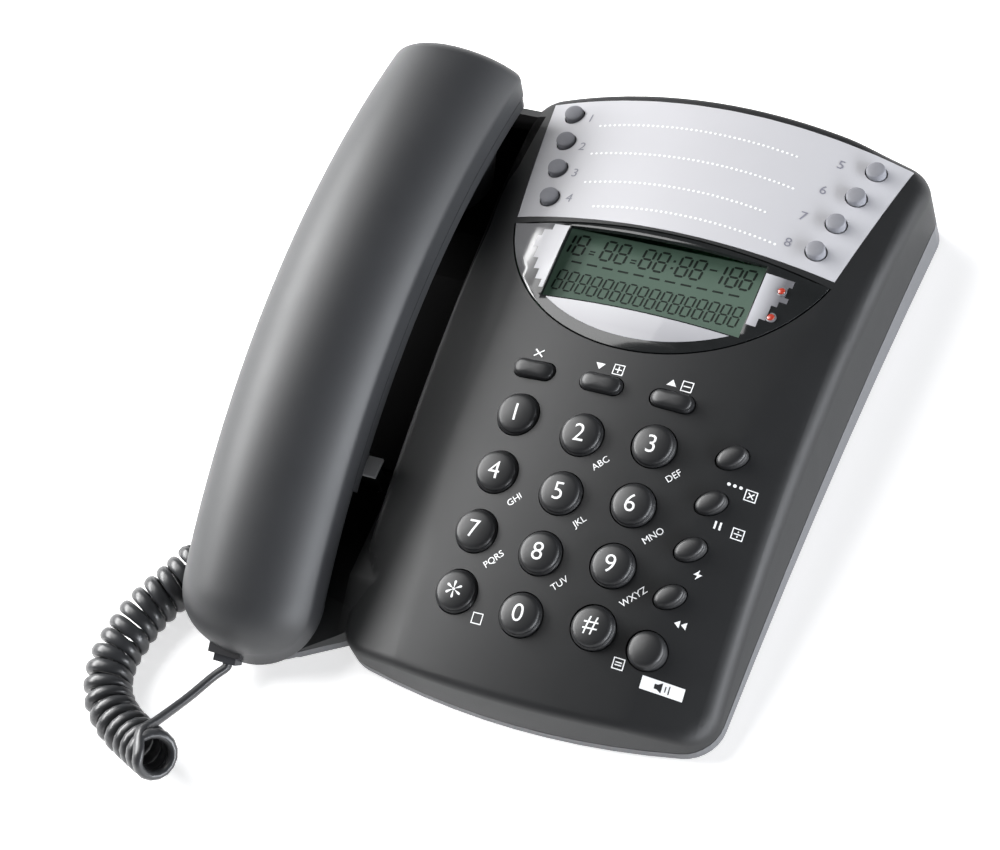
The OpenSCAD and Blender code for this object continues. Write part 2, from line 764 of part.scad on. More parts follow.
// Handset section: x across, y along the rim's normal, drawn in by inset
crown_section_r = (handset_half * handset_half + handset_crown * handset_crown) / (2 * handset_crown);
module upper_section(inset, over) {
    intersection() {
        translate([0, handset_crown - crown_section_r]) circle(r = crown_section_r - inset, $fn = 96);
        translate([inset - handset_half, -1]) square([2 * (handset_half - inset), 40]);
    }
    translate([inset - handset_half, -handset_band - over])
        square([2 * (handset_half - inset), handset_band + over]);
}
grip_chamfer = 2;
module lower_section(inset, depth, over) {
    h = handset_half - inset;
    d = depth - inset;
    t = over - handset_band;
    c = min(grip_chamfer, 0.8 * (d + t));
    polygon([[-h, t], [-h, c - d], [c - h, -d], [h - c, -d], [h, c - d], [h, t]]);
}
// Sweep of a section along the rim from angle a0 to a1, measured from the vertical
module rim_sweep(a0, a1) {
    translate([handset_x, handset_c[0], handset_c[1]]) rotate([0, 90, 0]) rotate([0, 0, 180 - a1])
        rotate_extrude(angle = a1 - a0, $fn = 180) translate([handset_r, 0]) rotate(-90) children();
}
// Frame on the rim at angle a: Y along the handset towards the ear end, Z square to the rim
module rim_frame(a) {
    translate([handset_x, handset_c[0] + handset_r * sin(a), handset_c[1] + handset_r * cos(a)])
        rotate([-a, 0, 0]) children();
}
// The round mouth end runs a little way into the sweep, drawn in by lap_in so that no faces coincide
lap_in = 0.05;
mouth_lap = 1;
module mouth_turn() {
    rim_frame(mouth_a) intersection() {
        rotate_extrude($fn = 96) intersection() {
            children();
            translate([0, -50]) square([50, 100]);
        }
        translate([-50, -50, -50]) cube([100, 50 + mouth_lap, 100]);
    }
}
// The ear end: what the end plane and the round corners leave, and a crown that leans back
ear_corner_r = 5;
ear_over_a = ear_end_a + 3;
function ear_keep(inset) =
    let (h = handset_half - inset,
         r = ear_corner_r - inset,
         half = concat([[h + 0.3, -80], [h + 0.3, -inset - r - 2]],
                       arc_pts([h - r, -inset - r], r, 15, 90, 4)))
    concat(half, mirrored(half));
module ear_corners(inset) {
    rim_frame(ear_end_a) translate([0, 0, -45]) linear_extrude(height = 90) difference() {
        translate([-60, -60]) square([120, 120]);
        polygon(ear_keep(inset));
    }
    rim_frame(ear_end_a) translate([0, -inset, 0.5]) rotate([ear_lean, 0, 0])
        translate([-40, 0, 0]) cube([80, 40, 60]);
}
// Outside of a shell at inset 0; a hollow has an inset and reaches over the parting line
module upper_form(inset, over) {
    difference() {
        union() {
            rim_sweep(mouth_a, ear_over_a) upper_section(inset, over);
            mouth_turn() upper_section(inset + lap_in, over - lap_in);
        }
        ear_corners(inset);
    }
}
mouth_throat_a = -21;
mouth_throat_depth = mouth_depth - 0.6;
throat_lap = 0.4;
ear_r = 17;
ear_top_r = 22;
ear_top_z = -handset_band - 1.4;
module lower_form(inset, over) {
    difference() {
        union() {
            rim_sweep(mouth_a, mouth_throat_a + throat_lap)
                lower_section(inset + lap_in, mouth_throat_depth, over - lap_in);
            rim_sweep(mouth_throat_a, ear_over_a) lower_section(inset, grip_depth, over);
            mouth_turn() lower_section(inset + 2 * lap_in, mouth_depth, over - 2 * lap_in);
        }
        ear_corners(inset);
    }
    rim_frame(ear_cup_a) translate([0, 0, inset - ear_depth])
        cylinder(r1 = ear_r - inset, r2 = ear_top_r - inset, h = ear_depth + ear_top_z - inset + 2 * over);
}
handset_posts = [-12, -1];
handset_post_r = 4.6;
microphone_at = [8, -8];
mouth_grille = [[0, 0], [3, 0], [-3, 0], [0, 3], [0, -3]];
function ring_pts(n, r) = [for (i = [0:n - 1]) [r * cos(360 * i / n), r * sin(360 * i / n)]];
ear_grille = concat([[0, 0]], ring_pts(6, 4.5), ring_pts(10, 9));
module handset_jack_cut() {
    rim_frame(mouth_a)
        translate([handset_jack_x - jack_w / 2 - jack_fit, -handset_half - 5, handset_jack_z - jack_fit / 2])
            cube([jack_w + 2 * jack_fit, 5 + jack_l, jack_h + jack_fit]);
}
handset_jack_z = handset_wall - mouth_depth + 0.1;
handset_jack_y = 1.6 - handset_half;
handset_jack_x = -4;
module handset_upper_shell() {
    color([0.11, 0.115, 0.12]) placed() difference() {
        union() {
            difference() {
                upper_form(0, 0);
                upper_form(handset_wall, 1);
            }
            intersection() {
                rim_sweep(mouth_a, ear_end_a) upper_section(handset_wall / 2, 0);
                for (a = handset_posts) rim_frame(a) translate([0, 0, -handset_band])
                    cylinder(r = handset_post_r, h = 40);
            }
        }
        for (a = handset_posts) rim_frame(a) translate([0, 0, -20]) cylinder(r = pilot_r, h = 22);
        handset_jack_cut();
    }
}
hook_pad_l = 14;
hook_pad_w = 8;
module handset_lower_shell() {
    color([0.1, 0.1, 0.105]) placed() difference() {
        union() {
            difference() {
                lower_form(0, 0);
                lower_form(handset_wall, 1);
            }
            intersection() {
                rim_sweep(mouth_throat_a, ear_end_a) lower_section(handset_wall / 2, grip_depth, 0);
                for (a = handset_posts) rim_frame(a) translate([0, 0, -40])
                    cylinder(r = handset_post_r, h = 40);
            }
            difference() {
                translate([hook_x - hook_pad_l / 2 - 5, hook_y - hook_pad_w / 2, hook_top_z + seat_gap])
                    cube([hook_pad_l, hook_pad_w, 8]);
                below_rim_cut();
            }
        }
        for (a = handset_posts) rim_frame(a) {
            translate([0, 0, -20]) cylinder(r = screw_r + 0.2, h = 22);
            translate([0, 0, -20]) cylinder(r = head_r + 0.3, h = 20 - grip_depth + head_h);
        }
        rim_frame(mouth_a) for (p = mouth_grille)
            translate([microphone_at[0] + p[0], microphone_at[1] + p[1], -mouth_depth - 5])
                cylinder(r = 0.8, h = 10, $fn = 16);
        rim_frame(ear_cup_a) for (p = ear_grille)
            translate([p[0], p[1], -ear_depth - 5]) cylinder(r = 1, h = 10, $fn = 16);
        handset_jack_cut();
    }
}
module below_rim_cut() {
    translate([handset_x, handset_c[0], handset_c[1]]) rotate([0, 90, 0]) difference() {
        cylinder(r = handset_r + 60, h = 80, center = true, $fn = 180);
        cylinder(r = handset_r - grip_depth + handset_wall / 2, h = 90, center = true, $fn = 180);
    }
}
module handset_screws() {
    color([0.6, 0.6, 0.62]) placed() for (a = handset_posts) rim_frame(a)
        translate([0, 0, head_h - grip_depth]) {
        translate([0, 0, -head_h]) cylinder(r = head_r, h = head_h);
        cylinder(r = screw_r - screw_play, h = grip_depth - head_h);
    }
}
module receiver_capsule() {
    color([0.3, 0.3, 0.32]) placed() rim_frame(ear_cup_a) translate([0, 0, handset_wall - ear_depth]) {
        cylinder(r = ear_r - handset_wall - 0.4, h = 4);
        cylinder(r = ear_r - handset_wall - 3, h = 9);
    }
}
module microphone_capsule() {
    color([0.7, 0.7, 0.7]) placed() rim_frame(mouth_a)
        translate([microphone_at[0], microphone_at[1], handset_wall - mouth_depth + 3 * lap_in])
            cylinder(r = 5, h = 5);
}
weight_w = 22;
weight_t = 7;
weight_a = [-9.5, -3.5];
module handset_weight() {
    color([0.5, 0.5, 0.52]) placed() rim_sweep(weight_a[0], weight_a[1])
        translate([-weight_w / 2, handset_wall - grip_depth]) square([weight_w, weight_t]);
}
module handset_jack() {
    color([0.1, 0.1, 0.11]) placed() rim_frame(mouth_a)
        translate([handset_jack_x, handset_jack_y, handset_jack_z])
            jack_block(jack_w, jack_l - 1.5, jack_h,
                       plug_w + 2 * plug_fit, plug_h + 2 * plug_fit, plug_in + plug_fit);
}

// Tubes swept along points
function unit(v) = v / norm(v);
function tangents(p) = [for (i = [0:len(p) - 1]) unit(p[min(i + 1, len(p) - 1)] - p[max(i - 1, 0)])];
module tube(p, t, side, r, n) {
    k = len(p);
    pts = [for (i = [0:k - 1]) let (
        u = unit(side[i] - (side[i] * t[i]) * t[i]),
        w = cross(t[i], u))
        for (j = [0:n - 1]) p[i] + r * (cos(360 * j / n) * u + sin(360 * j / n) * w)];
    walls = [for (i = [0:k - 2]) for (j = [0:n - 1]) let (
        a = i * n + j,
        b = i * n + (j + 1) % n)
        each [[a, a + n, b], [b, a + n, b + n]]];
    caps = [for (j = [1:n - 2]) each [[0, j, j + 1], [(k - 1) * n, (k - 1) * n + j + 1, (k - 1) * n + j]]];
    polyhedron(pts, concat(walls, caps), convexity = 8);
}
// Route of the curls on the table: a bow to the left, a counter bow, then along the cradle
curl_r = (curl_d - cord_d) / 2;
curl_z = curl_d / 2 + 0.1;
curl_bow_c = [-104.5, -71.5];
curl_bow_r = 24;
curl_bow_from = -68.5;
curl_bow_to = -222;
curl_back_r = 23;
rings_per_curl = 8;
bow_len = curl_bow_r * (curl_bow_from - curl_bow_to) * PI / 180;
back_len = curl_back_r * (-curl_bow_to - 180) * PI / 180;
back_bow_c = curl_bow_c + (curl_bow_r + curl_back_r) * [cos(curl_bow_to), sin(curl_bow_to)];
curled_len = 86.6;
// The first curl is drawn out and tipped up by the lead
first_len = 8;
tip_slope = 1.2;
function bow_angle(s) = curl_bow_from - s / curl_bow_r * 180 / PI;
function back_angle(s) = curl_bow_to + 180 + (s - bow_len) / curl_back_r * 180 / PI;
function route(s) =
    s < bow_len ? curl_bow_c + curl_bow_r * [cos(bow_angle(s)), sin(bow_angle(s))]
    : s < bow_len + back_len ? back_bow_c + curl_back_r * [cos(back_angle(s)), sin(back_angle(s))]
    : back_bow_c + [curl_back_r, s - bow_len - back_len];
function heading(s) =
    s < bow_len ? [sin(bow_angle(s)), -cos(bow_angle(s))]
    : s < bow_len + back_len ? [-sin(back_angle(s)), cos(back_angle(s))]
    : [0, 1];
function tip(s) = tip_slope * max(0, 1 - s / first_len);
function axis_pt(s) = let (c = route(s)) [c[0], c[1], curl_z + tip(s) * max(0, first_len - s) / 2];
function curl_side(s, a) =
    let (h = heading(s), v = [h[1], -h[0], 0], u = cross(v, unit([h[0], h[1], -tip(s)])))
    cos(a) * u - sin(a) * v;
// After the last curl the cord comes in to the middle of the coil and runs on straight
curl_end = 6;
curl_end_turn = 250;
function fade(f) = 1 - f * f * (3 - 2 * f);
function curl_s(t) = t < 1 ? first_len * t : first_len + (t - 1) * (curled_len - first_len) / (curls - 1);
curl_steps = curls * rings_per_curl;
// Each ring of the curled cord: way along the route, angle round it, share of the curl's radius
curl_rings = concat(
    [for (i = [0:curl_steps]) let (t = i / rings_per_curl) [curl_s(t), 360 * t, 1]],
    [for (i = [1:5]) [curled_len + curl_end * i / 5, 360 * curls + curl_end_turn * i / 5, fade(i / 5)]],
    [[curled_len + curl_end + cord_d, 360 * curls + curl_end_turn, 0]]);
curl_sides = [for (k = curl_rings) curl_side(k[0], k[1])];
curl_pts = [for (i = [0:len(curl_rings) - 1])
    axis_pt(curl_rings[i][0]) + curl_r * curl_rings[i][2] * curl_sides[i]];
curl_start = unit(
    let (h = heading(0))
    2 * PI * curl_r * [-h[1], h[0], 0] + first_len * unit([h[0], h[1], -tip(0)]));
curl_tan = let (t = tangents(curl_pts)) [for (i = [0:len(t) - 1]) i == 0 ? curl_start : t[i]];
module cord_coil() {
    color([0.07, 0.07, 0.075]) placed() tube(curl_pts, curl_tan, curl_sides, cord_d / 2, 6);
}
// Least gap between neighbouring curls
curl_gap = min([for (i = [0:curl_steps - rings_per_curl / 2])
    for (j = [i + rings_per_curl / 2:1:min(curl_steps, i + 2 * rings_per_curl)])
        norm(curl_pts[i] - curl_pts[j])]) - cord_d;
echo(least_gap_between_curls_mm = curl_gap);

// Leads: from the handset's plug to the first curl, and from the last curl to the cradle's plug
plug_out = plug_l - plug_in;
plug_mid_z = handset_jack_z + jack_h / 2;
function rim_point(a, q) = [
    handset_x + q[0],
    handset_c[0] + handset_r * sin(a) + q[1] * cos(a) + q[2] * sin(a),
    handset_c[1] + handset_r * cos(a) - q[1] * sin(a) + q[2] * cos(a)];
lead_start = rim_point(mouth_a, [handset_jack_x, handset_jack_y - plug_out, plug_mid_z]);
lead_dir = [0, -cos(mouth_a), sin(mouth_a)];
lead_route = concat(
    [lead_start, lead_start + cord_d * lead_dir],
    [[-93.8, -67, 6.4], [-95.6, -72, 8.6], [-97.6, -79, 11.6], [-98.8, -85, 14.2]],
    [curl_pts[0] - 1.4 * cord_d * curl_tan[0], curl_pts[0]]);
tail_end = [-cradle_left + 0.6 - plug_out, base_jack_y, jack_z + jack_h / 2];
tail_start = curl_pts[len(curl_pts) - 1];
tail_route = concat(
    [tail_start, tail_start + cord_d * curl_tan[len(curl_pts) - 1]],
    [[-116.2, -17.6, 7.6], [-115, -13.8, 7.7]],
    [tail_end - [cord_d, 0, 0], tail_end]);
module lead_tube(route, t0, t1) {
    t = tangents(route);
    k = len(route);
    tt = [for (i = [0:k - 1]) i == 0 ? t0 : i == k - 1 ? t1 : t[i]];
    tube(route, tt, [for (i = [0:k - 1]) [0, 0, 1]], cord_d / 2, 8);
}
module cord_lead() { color([0.09, 0.09, 0.095]) placed() lead_tube(lead_route, lead_dir, curl_tan[0]); }
module cord_tail() {
    color([0.09, 0.09, 0.095]) placed() lead_tube(tail_route, curl_tan[len(curl_pts) - 1], [1, 0, 0]);
}
module plug_form() {
    translate([-plug_w / 2, 0, -plug_h / 2]) cube([plug_w, plug_l, plug_h]);
}
module handset_plug() {
    color([0.75, 0.76, 0.78]) placed() rim_frame(mouth_a)
        translate([handset_jack_x, handset_jack_y - plug_out, plug_mid_z]) plug_form();
}
module base_plug() {
    color([0.75, 0.76, 0.78]) placed() translate(tail_end) rotate([0, 0, -90]) plug_form();
}

// Coil spring below the hook plunger
spring_z0 = floor_z + 1;
spring_z1 = cradle_floor_z - 6;
spring_us = [for (i = [0:spring_turns * 12]) i / (spring_turns * 12)];
module spring_form() {
    r = (spring_d - spring_wire) / 2;
    z0 = spring_z0 + spring_wire / 2;
    rise = spring_z1 - spring_z0 - spring_wire;
    p = [for (u = spring_us) let (a = 360 * spring_turns * u) [r * cos(a), r * sin(a), z0 + rise * u]];
    sides = [for (u = spring_us) let (a = 360 * spring_turns * u) [cos(a), sin(a), 0]];
    tube(p, tangents(p), sides, spring_wire / 2, 6);
}

top_housing();
bottom_housing();
rubber_feet();
housing_screws();
label_plate();
display_window();
display_panel();
panel_holder();
call_lamps();
display_board();
memory_mat();
main_board();
key_mat();
board_screws();
loudspeaker();
hook_plunger();
hook_spring();
hook_switch();
line_jack();
base_jack();
handset_upper_shell();
handset_lower_shell();
handset_screws();
receiver_capsule();
microphone_capsule();
handset_weight();
handset_jack();
cord_coil();
cord_lead();
cord_tail();
handset_plug();
base_plug();
digit_key(0);  // key_1
digit_key(1);  // key_2
digit_key(2);  // key_3
digit_key(3);  // key_4
digit_key(4);  // key_5
digit_key(5);  // key_6
digit_key(6);  // key_7
digit_key(7);  // key_8
digit_key(8);  // key_9
digit_key(9);  // key_star
digit_key(10);  // key_0
digit_key(11);  // key_hash
menu_key(0);  // menu_key_1
menu_key(1);  // menu_key_2
menu_key(2);  // menu_key_3
oval_key(0);  // oval_key_1
oval_key(1);  // oval_key_2
oval_key(2);  // oval_key_3
oval_key(3);  // oval_key_4
speaker_key();
memory_button(0);  // memory_button_1
memory_button(1);  // memory_button_2
memory_button(2);  // memory_button_3
memory_button(3);  // memory_button_4
memory_button(4);  // memory_button_5
memory_button(5);  // memory_button_6
memory_button(6);  // memory_button_7
memory_button(7);  // memory_button_8
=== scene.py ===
"""Looks of a desk telephone with caller display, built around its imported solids."""
import math

import bpy
from mathutils import Matrix, Vector


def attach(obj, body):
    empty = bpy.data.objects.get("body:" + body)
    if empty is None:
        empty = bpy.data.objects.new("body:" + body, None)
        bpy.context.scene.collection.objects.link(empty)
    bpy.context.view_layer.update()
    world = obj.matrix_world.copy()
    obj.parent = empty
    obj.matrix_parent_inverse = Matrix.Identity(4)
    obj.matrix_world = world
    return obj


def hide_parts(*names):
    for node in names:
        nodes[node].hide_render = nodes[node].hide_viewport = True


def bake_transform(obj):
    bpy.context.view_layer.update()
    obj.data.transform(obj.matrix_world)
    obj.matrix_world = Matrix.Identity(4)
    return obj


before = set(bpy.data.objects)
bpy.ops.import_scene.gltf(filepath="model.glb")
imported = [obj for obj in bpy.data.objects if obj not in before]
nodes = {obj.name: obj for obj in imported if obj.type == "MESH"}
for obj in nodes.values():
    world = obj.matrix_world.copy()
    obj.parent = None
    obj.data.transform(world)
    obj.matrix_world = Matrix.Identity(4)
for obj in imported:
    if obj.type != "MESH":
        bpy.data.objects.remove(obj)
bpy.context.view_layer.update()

MM = 0.001
# From the middle of the keypad to the model's origin, in millimetres
ORIGIN = Vector((22.35, -44.42, 0.0))
UNTURNED = Matrix.Identity(4)

# Camera at the photograph's place, in metres
CAMERA_SPOT = (0.32167, -0.36158, 0.72484)
CAMERA_RIGHT = (0.89432, 0.37887, -0.23803)
CAMERA_UP = (-0.21476, 0.83017, 0.51448)
CAMERA_BACK = (0.39252, -0.40899, 0.8238)
LENS, SENSOR = 100.8, 36.0

camera_data = bpy.data.cameras.new("camera")
camera_data.lens = LENS
camera_data.sensor_width = SENSOR
camera_data.sensor_fit = "HORIZONTAL"
camera = bpy.data.objects.new("camera", camera_data)
bpy.context.scene.collection.objects.link(camera)
turn = Matrix((CAMERA_RIGHT, CAMERA_UP, CAMERA_BACK)).transposed().to_4x4()
camera.matrix_world = Matrix.Translation(CAMERA_SPOT) @ turn
bpy.context.scene.camera = camera


def place(matrix=UNTURNED):
    """Matrix from millimetres in a frame of the phone to the model's metres."""
    return Matrix.Scale(MM, 4) @ Matrix.Translation(ORIGIN) @ matrix


class Value:
    """A socket of a material, with arithmetic that adds Math nodes."""

    def __init__(self, finish, socket):
        self.finish, self.socket = finish, socket

    def math(self, operation, a, b):
        return self.finish.add("ShaderNodeMath", {0: a, 1: b}, operation=operation)

    def __add__(self, other): return self.math("ADD", self, other)
    def __radd__(self, other): return self.math("ADD", other, self)
    def __sub__(self, other): return self.math("SUBTRACT", self, other)
    def __rsub__(self, other): return self.math("SUBTRACT", other, self)
    def __mul__(self, other): return self.math("MULTIPLY", self, other)
    def __rmul__(self, other): return self.math("MULTIPLY", other, self)
    def __gt__(self, other): return self.math("GREATER_THAN", self, other)
    def __lt__(self, other): return self.math("LESS_THAN", self, other)


def rgba(r, g, b):
    return (r, g, b, 1.0)


def tinted(colour, share):
    return tuple(c * share for c in colour)


class Finish:
    """A material built round one Principled shader."""

    def __init__(self, name, **constants):
        self.material = bpy.data.materials.new(name)
        self.material.use_nodes = True
        self.tree = self.material.node_tree
        self.shader = self.tree.nodes["Principled BSDF"]
        for socket, value in constants.items():
            self.shader.inputs[socket.replace("_", " ")].default_value = value

    def add(self, kind, inputs=None, output=0, **settings):
        node = self.tree.nodes.new(kind)
        for key, value in settings.items():
            setattr(node, key, value)
        for key, value in (inputs or {}).items():
            if isinstance(value, Value):
                self.tree.links.new(value.socket, node.inputs[key])
            else:
                node.inputs[key].default_value = value
        return Value(self, node.outputs[output])

    def where(self):
        return self.add("ShaderNodeTexCoord", output="Object")

    def axes(self, count):
        return [self.add("ShaderNodeSeparateXYZ", {0: self.where()}, output=k) for k in range(count)]

    def noise(self, size_mm, detail=3.0, roughness=0.55):
        return self.add("ShaderNodeTexNoise", {
            "Vector": self.where(), "Scale": 1 / (size_mm * MM), "Detail": detail, "Roughness": roughness})

    def mix(self, factor, a, b):
        """Mix of two colours, each a value or three numbers."""
        a, b = (colour if isinstance(colour, Value) else rgba(*colour) for colour in (a, b))
        return self.add("ShaderNodeMix", {0: factor, 6: a, 7: b}, output=2, data_type="RGBA")

    def clamp(self, value):
        return self.add("ShaderNodeClamp", {0: value})

    def bump(self, height, strength, depth_mm):
        return self.add("ShaderNodeBump", {"Height": height, "Strength": strength, "Distance": depth_mm * MM})

    def feed(self, **links):
        for socket, value in links.items():
            self.tree.links.new(value.socket, self.shader.inputs[socket.replace("_", " ")])
        return self


def moulded(name, colour, rough, grain_mm=0.35, grain=0.25, spread=0.12, mottle_mm=18.0, **constants):
    """Moulded plastic: fine spark-eroded grain, faint cloudy colour and uneven sheen."""
    finish = Finish(name, **constants)
    cloud = finish.noise(mottle_mm, 4.0)
    fine = finish.noise(grain_mm, 2.0, 0.7)
    speck = finish.noise(grain_mm * 4, 2.0)
    tone = cloud * 0.6 + speck * 0.4
    return finish.feed(
        Base_Color=finish.mix(tone, tinted(colour, 1 - spread), tinted(colour, 1 + spread)),
        Roughness=rough + 0.10 * (fine - 0.5) + 0.08 * (cloud - 0.5),
        Normal=finish.bump(fine + speck * 0.5, grain, 0.03)).material


def printed(name, colour, rough=0.45, **constants):
    """Screen print: an even ink with a little pin-holing."""
    finish = Finish(name, **constants)
    ink = finish.noise(0.25, 2.0)
    return finish.feed(
        Base_Color=finish.mix(ink, tinted(colour, 0.93), colour),
        Roughness=rough + 0.12 * (ink - 0.5)).material


def metal(name, colour, rough):
    """Plain bright metal with fine drawn lines."""
    finish = Finish(name, Metallic=1.0)
    drawn = finish.noise(0.3, 3.0)
    cloud = finish.noise(6.0, 2.0)
    return finish.feed(
        Base_Color=finish.mix(cloud, tinted(colour, 0.85), colour),
        Roughness=rough + 0.15 * (drawn - 0.5),
        Normal=finish.bump(drawn, 0.15, 0.02)).material


# Painted shade in the cradle's trough, in metres: its sides, back and top, and the fade of the shade towards
# its front
TROUGH_LEFT, TROUGH_RIGHT = -0.0832, -0.0395
TROUGH_BACK, TROUGH_TOP = 0.0942, 0.0335
TROUGH_FRONT, TROUGH_SHADE_FADE = -0.088, 38.0


def charcoal_housing():
    """Charcoal moulded plastic with painted shade: black in the trough, where the metallic value takes off
    the sheen.
    """
    finish = Finish("charcoal_housing_plastic", Specular_IOR_Level=0.33)
    cloud, fine, speck = finish.noise(18.0, 4.0), finish.noise(0.30, 2.0, 0.7), finish.noise(1.2, 2.0)
    x, y, z = finish.axes(3)
    # Painted shade: the cradle's trough between the handset and the body is painted near-black and made
    # metallic so that it loses its sheen
    inside = (x > TROUGH_LEFT) * (x < TROUGH_RIGHT) * (y < TROUGH_BACK) * (z < TROUGH_TOP)
    trough_shade = inside * finish.clamp((y - TROUGH_FRONT) * TROUGH_SHADE_FADE)
    plain = finish.mix(cloud * 0.6 + speck * 0.4, (0.0105, 0.0110, 0.0117), (0.0134, 0.0140, 0.0149))
    return finish.feed(
        Base_Color=finish.mix(trough_shade, plain, (0.0012, 0.0012, 0.0013)),
        Metallic=0.95 * trough_shade,
        Roughness=0.49 + 0.3 * trough_shade + 0.10 * (fine - 0.5) + 0.08 * (cloud - 0.5),
        Normal=finish.bump(fine + speck * 0.5, 0.35, 0.03)).material


def silver_label():
    """Silver painted sheet with a fine sparkle."""
    finish = Finish("silver_label_sheet")
    spark = finish.noise(0.12, 2.0, 0.8)
    cloud = finish.noise(22.0, 3.0)
    return finish.feed(
        Base_Color=finish.mix(spark * 0.6 + cloud * 0.4, (0.42, 0.42, 0.44), (0.49, 0.49, 0.515)),
        Roughness=0.38 + 0.2 * (spark - 0.5),
        Normal=finish.bump(spark, 0.08, 0.01)).material


# Where the window's tones and its painted reflection change, in metres, and how fast
REFLECTION_END_X, REFLECTION_LOW_Y = -0.0115, 0.022
GREY_END_X, LOW_SILVER_Y = 0.0560, 0.034
REFLECTION_FADE, GREY_END_FADE, LOW_FADE = 150.0, 160.0, 60.0


def dark_glass():
    """Glossy window printed black from behind, with a painted reflection that makes its left end paler."""
    finish = Finish("dark_window_gloss", Coat_Weight=0.3, Coat_Roughness=0.05, Specular_IOR_Level=0.35)
    haze = finish.noise(7.0, 3.0)
    x, y = finish.axes(2)
    # Painted reflection: the window's left end is painted pale grey in place of the left light's reflection
    painted_reflection = finish.clamp((REFLECTION_END_X - x) * REFLECTION_FADE) * finish.clamp((y - REFLECTION_LOW_Y) * LOW_FADE)
    dark = finish.mix(haze, (0.008, 0.009, 0.009), (0.016, 0.017, 0.018))
    return finish.feed(
        Base_Color=finish.mix(painted_reflection * (0.9 + 0.2 * haze), dark, (0.20, 0.20, 0.207)),
        Roughness=0.10 + 0.08 * haze).material


def window_silver():
    """Silver ink, darker below the display and grey at the window's right end."""
    finish = Finish("window_silver_ink", Coat_Weight=0.3, Coat_Roughness=0.05)
    x, y = finish.axes(2)
    cloud = finish.noise(3.0, 3.0)
    right_end = finish.clamp((x - GREY_END_X) * GREY_END_FADE)
    low = finish.clamp((LOW_SILVER_Y - y) * LOW_FADE)
    tone = finish.mix(low, (0.485, 0.485, 0.51), (0.30, 0.30, 0.32))
    return finish.feed(
        Base_Color=finish.mix(right_end * (0.9 + 0.2 * cloud), tone, (0.12, 0.12, 0.13)),
        Roughness=0.30 + 0.1 * cloud).material


def display_green():
    """Liquid crystal display: a grey-green reflector under a polariser, with a painted glow that lightens it
    in the shade.
    """
    # Painted light: the display glows faintly in its own colour although it has no backlight
    finish = Finish("display_green", Coat_Weight=0.1, Coat_Roughness=0.08,
                    Emission_Strength=0.4, Specular_IOR_Level=0.3)
    fine = finish.noise(0.2, 2.0)
    cloud = finish.noise(16.0, 3.0)
    tone = finish.mix(cloud * 0.7 + fine * 0.3, (0.036, 0.063, 0.046), (0.049, 0.082, 0.062))
    return finish.feed(Base_Color=tone, Emission_Color=tone, Roughness=0.5 + 0.15 * (fine - 0.5)).material


def lamp_red():
    """Red lamp lens with a lit core."""
    finish = Finish("red_lamp_lens", Coat_Weight=0.4, Emission_Strength=0.03)
    cloud = finish.noise(0.8, 2.0)
    tone = finish.mix(cloud, (0.30, 0.022, 0.012), (0.40, 0.045, 0.022))
    return finish.feed(Base_Color=tone, Emission_Color=tone, Roughness=0.2 + 0.1 * cloud).material


HANDSET_BLACK = moulded("satin_handset_plastic", (0.024, 0.025, 0.027), 0.50, 0.30, 0.22)
# Lower casing: grey plastic, made lighter than the housing so that its colour stands in for the pale floor's
# reflection on its sides, a painted reflection
LOWER_GREY_AND_REFLECTION = moulded("lower_casing_grey_and_painted_reflection", (0.10, 0.102, 0.108), 0.48, 0.35, 0.3)
KEY_BLACK = moulded("black_key_plastic", (0.012, 0.0124, 0.0134), 0.41, 0.5, 0.06, Specular_IOR_Level=0.42)
BUTTON_GREY = moulded("grey_memory_button_plastic", (0.20, 0.203, 0.222), 0.5, 0.4, 0.2,
                      Specular_IOR_Level=0.15)
HOOK_GREY = moulded("pale_hook_plastic", (0.456, 0.4655, 0.475), 0.42, 0.4, 0.1)
JACK_BLACK = moulded("black_jack_plastic", (0.016, 0.016, 0.018), 0.4, 0.4, 0.15)
CORD_BLACK = moulded("black_cord_jacket", (0.026, 0.027, 0.029), 0.33, 0.6, 0.12, 0.2, 9.0)
FOOT_RUBBER = moulded("black_foot_rubber", (0.012, 0.012, 0.012), 0.8, 0.6, 0.5)
MAT_RUBBER = moulded("grey_silicone_mat", (0.30, 0.30, 0.31), 0.7, 0.6, 0.3)
BOARD_GREEN = moulded("green_circuit_board", (0.03, 0.12, 0.05), 0.4, 0.8, 0.3, 0.3, 4.0)
HOLDER_WHITE = moulded("white_panel_holder", (0.55, 0.55, 0.52), 0.5)
CAPSULE_GREY = moulded("grey_capsule_plastic", (0.12, 0.12, 0.13), 0.45)
PLUG_SMOKE = moulded("smoky_plug_plastic", (0.035, 0.036, 0.04), 0.2, 0.8, 0.05)
STEEL = metal("bright_steel", (0.62, 0.62, 0.64), 0.3)
WEIGHT_IRON = metal("iron_weight", (0.28, 0.28, 0.29), 0.5)
WHITE_PRINT = printed("white_print", (0.86, 0.87, 0.88))
GREY_PRINT = printed("grey_print", (0.21, 0.21, 0.25))
DARK_PRINT = printed("dark_print", (0.015, 0.015, 0.017))
SEGMENT_DARK = printed("display_segment", (0.008, 0.013, 0.010), 0.5, Specular_IOR_Level=0.15)
CHARCOAL = charcoal_housing()
SILVER_LABEL = silver_label()
WINDOW_DARK = dark_glass()
WINDOW_SILVER = window_silver()
DISPLAY_GREEN = display_green()
LAMP_RED = lamp_red()


# Modelling steps that the pieces share. Pieces are modelled in millimetres.

def only(piece):
    bpy.ops.object.select_all(action="DESELECT")
    piece.select_set(True)
    bpy.context.view_layer.objects.active = piece
    return piece


def named(name):
    piece = bpy.context.view_layer.objects.active
    piece.name = piece.data.name = name
    return only(piece)


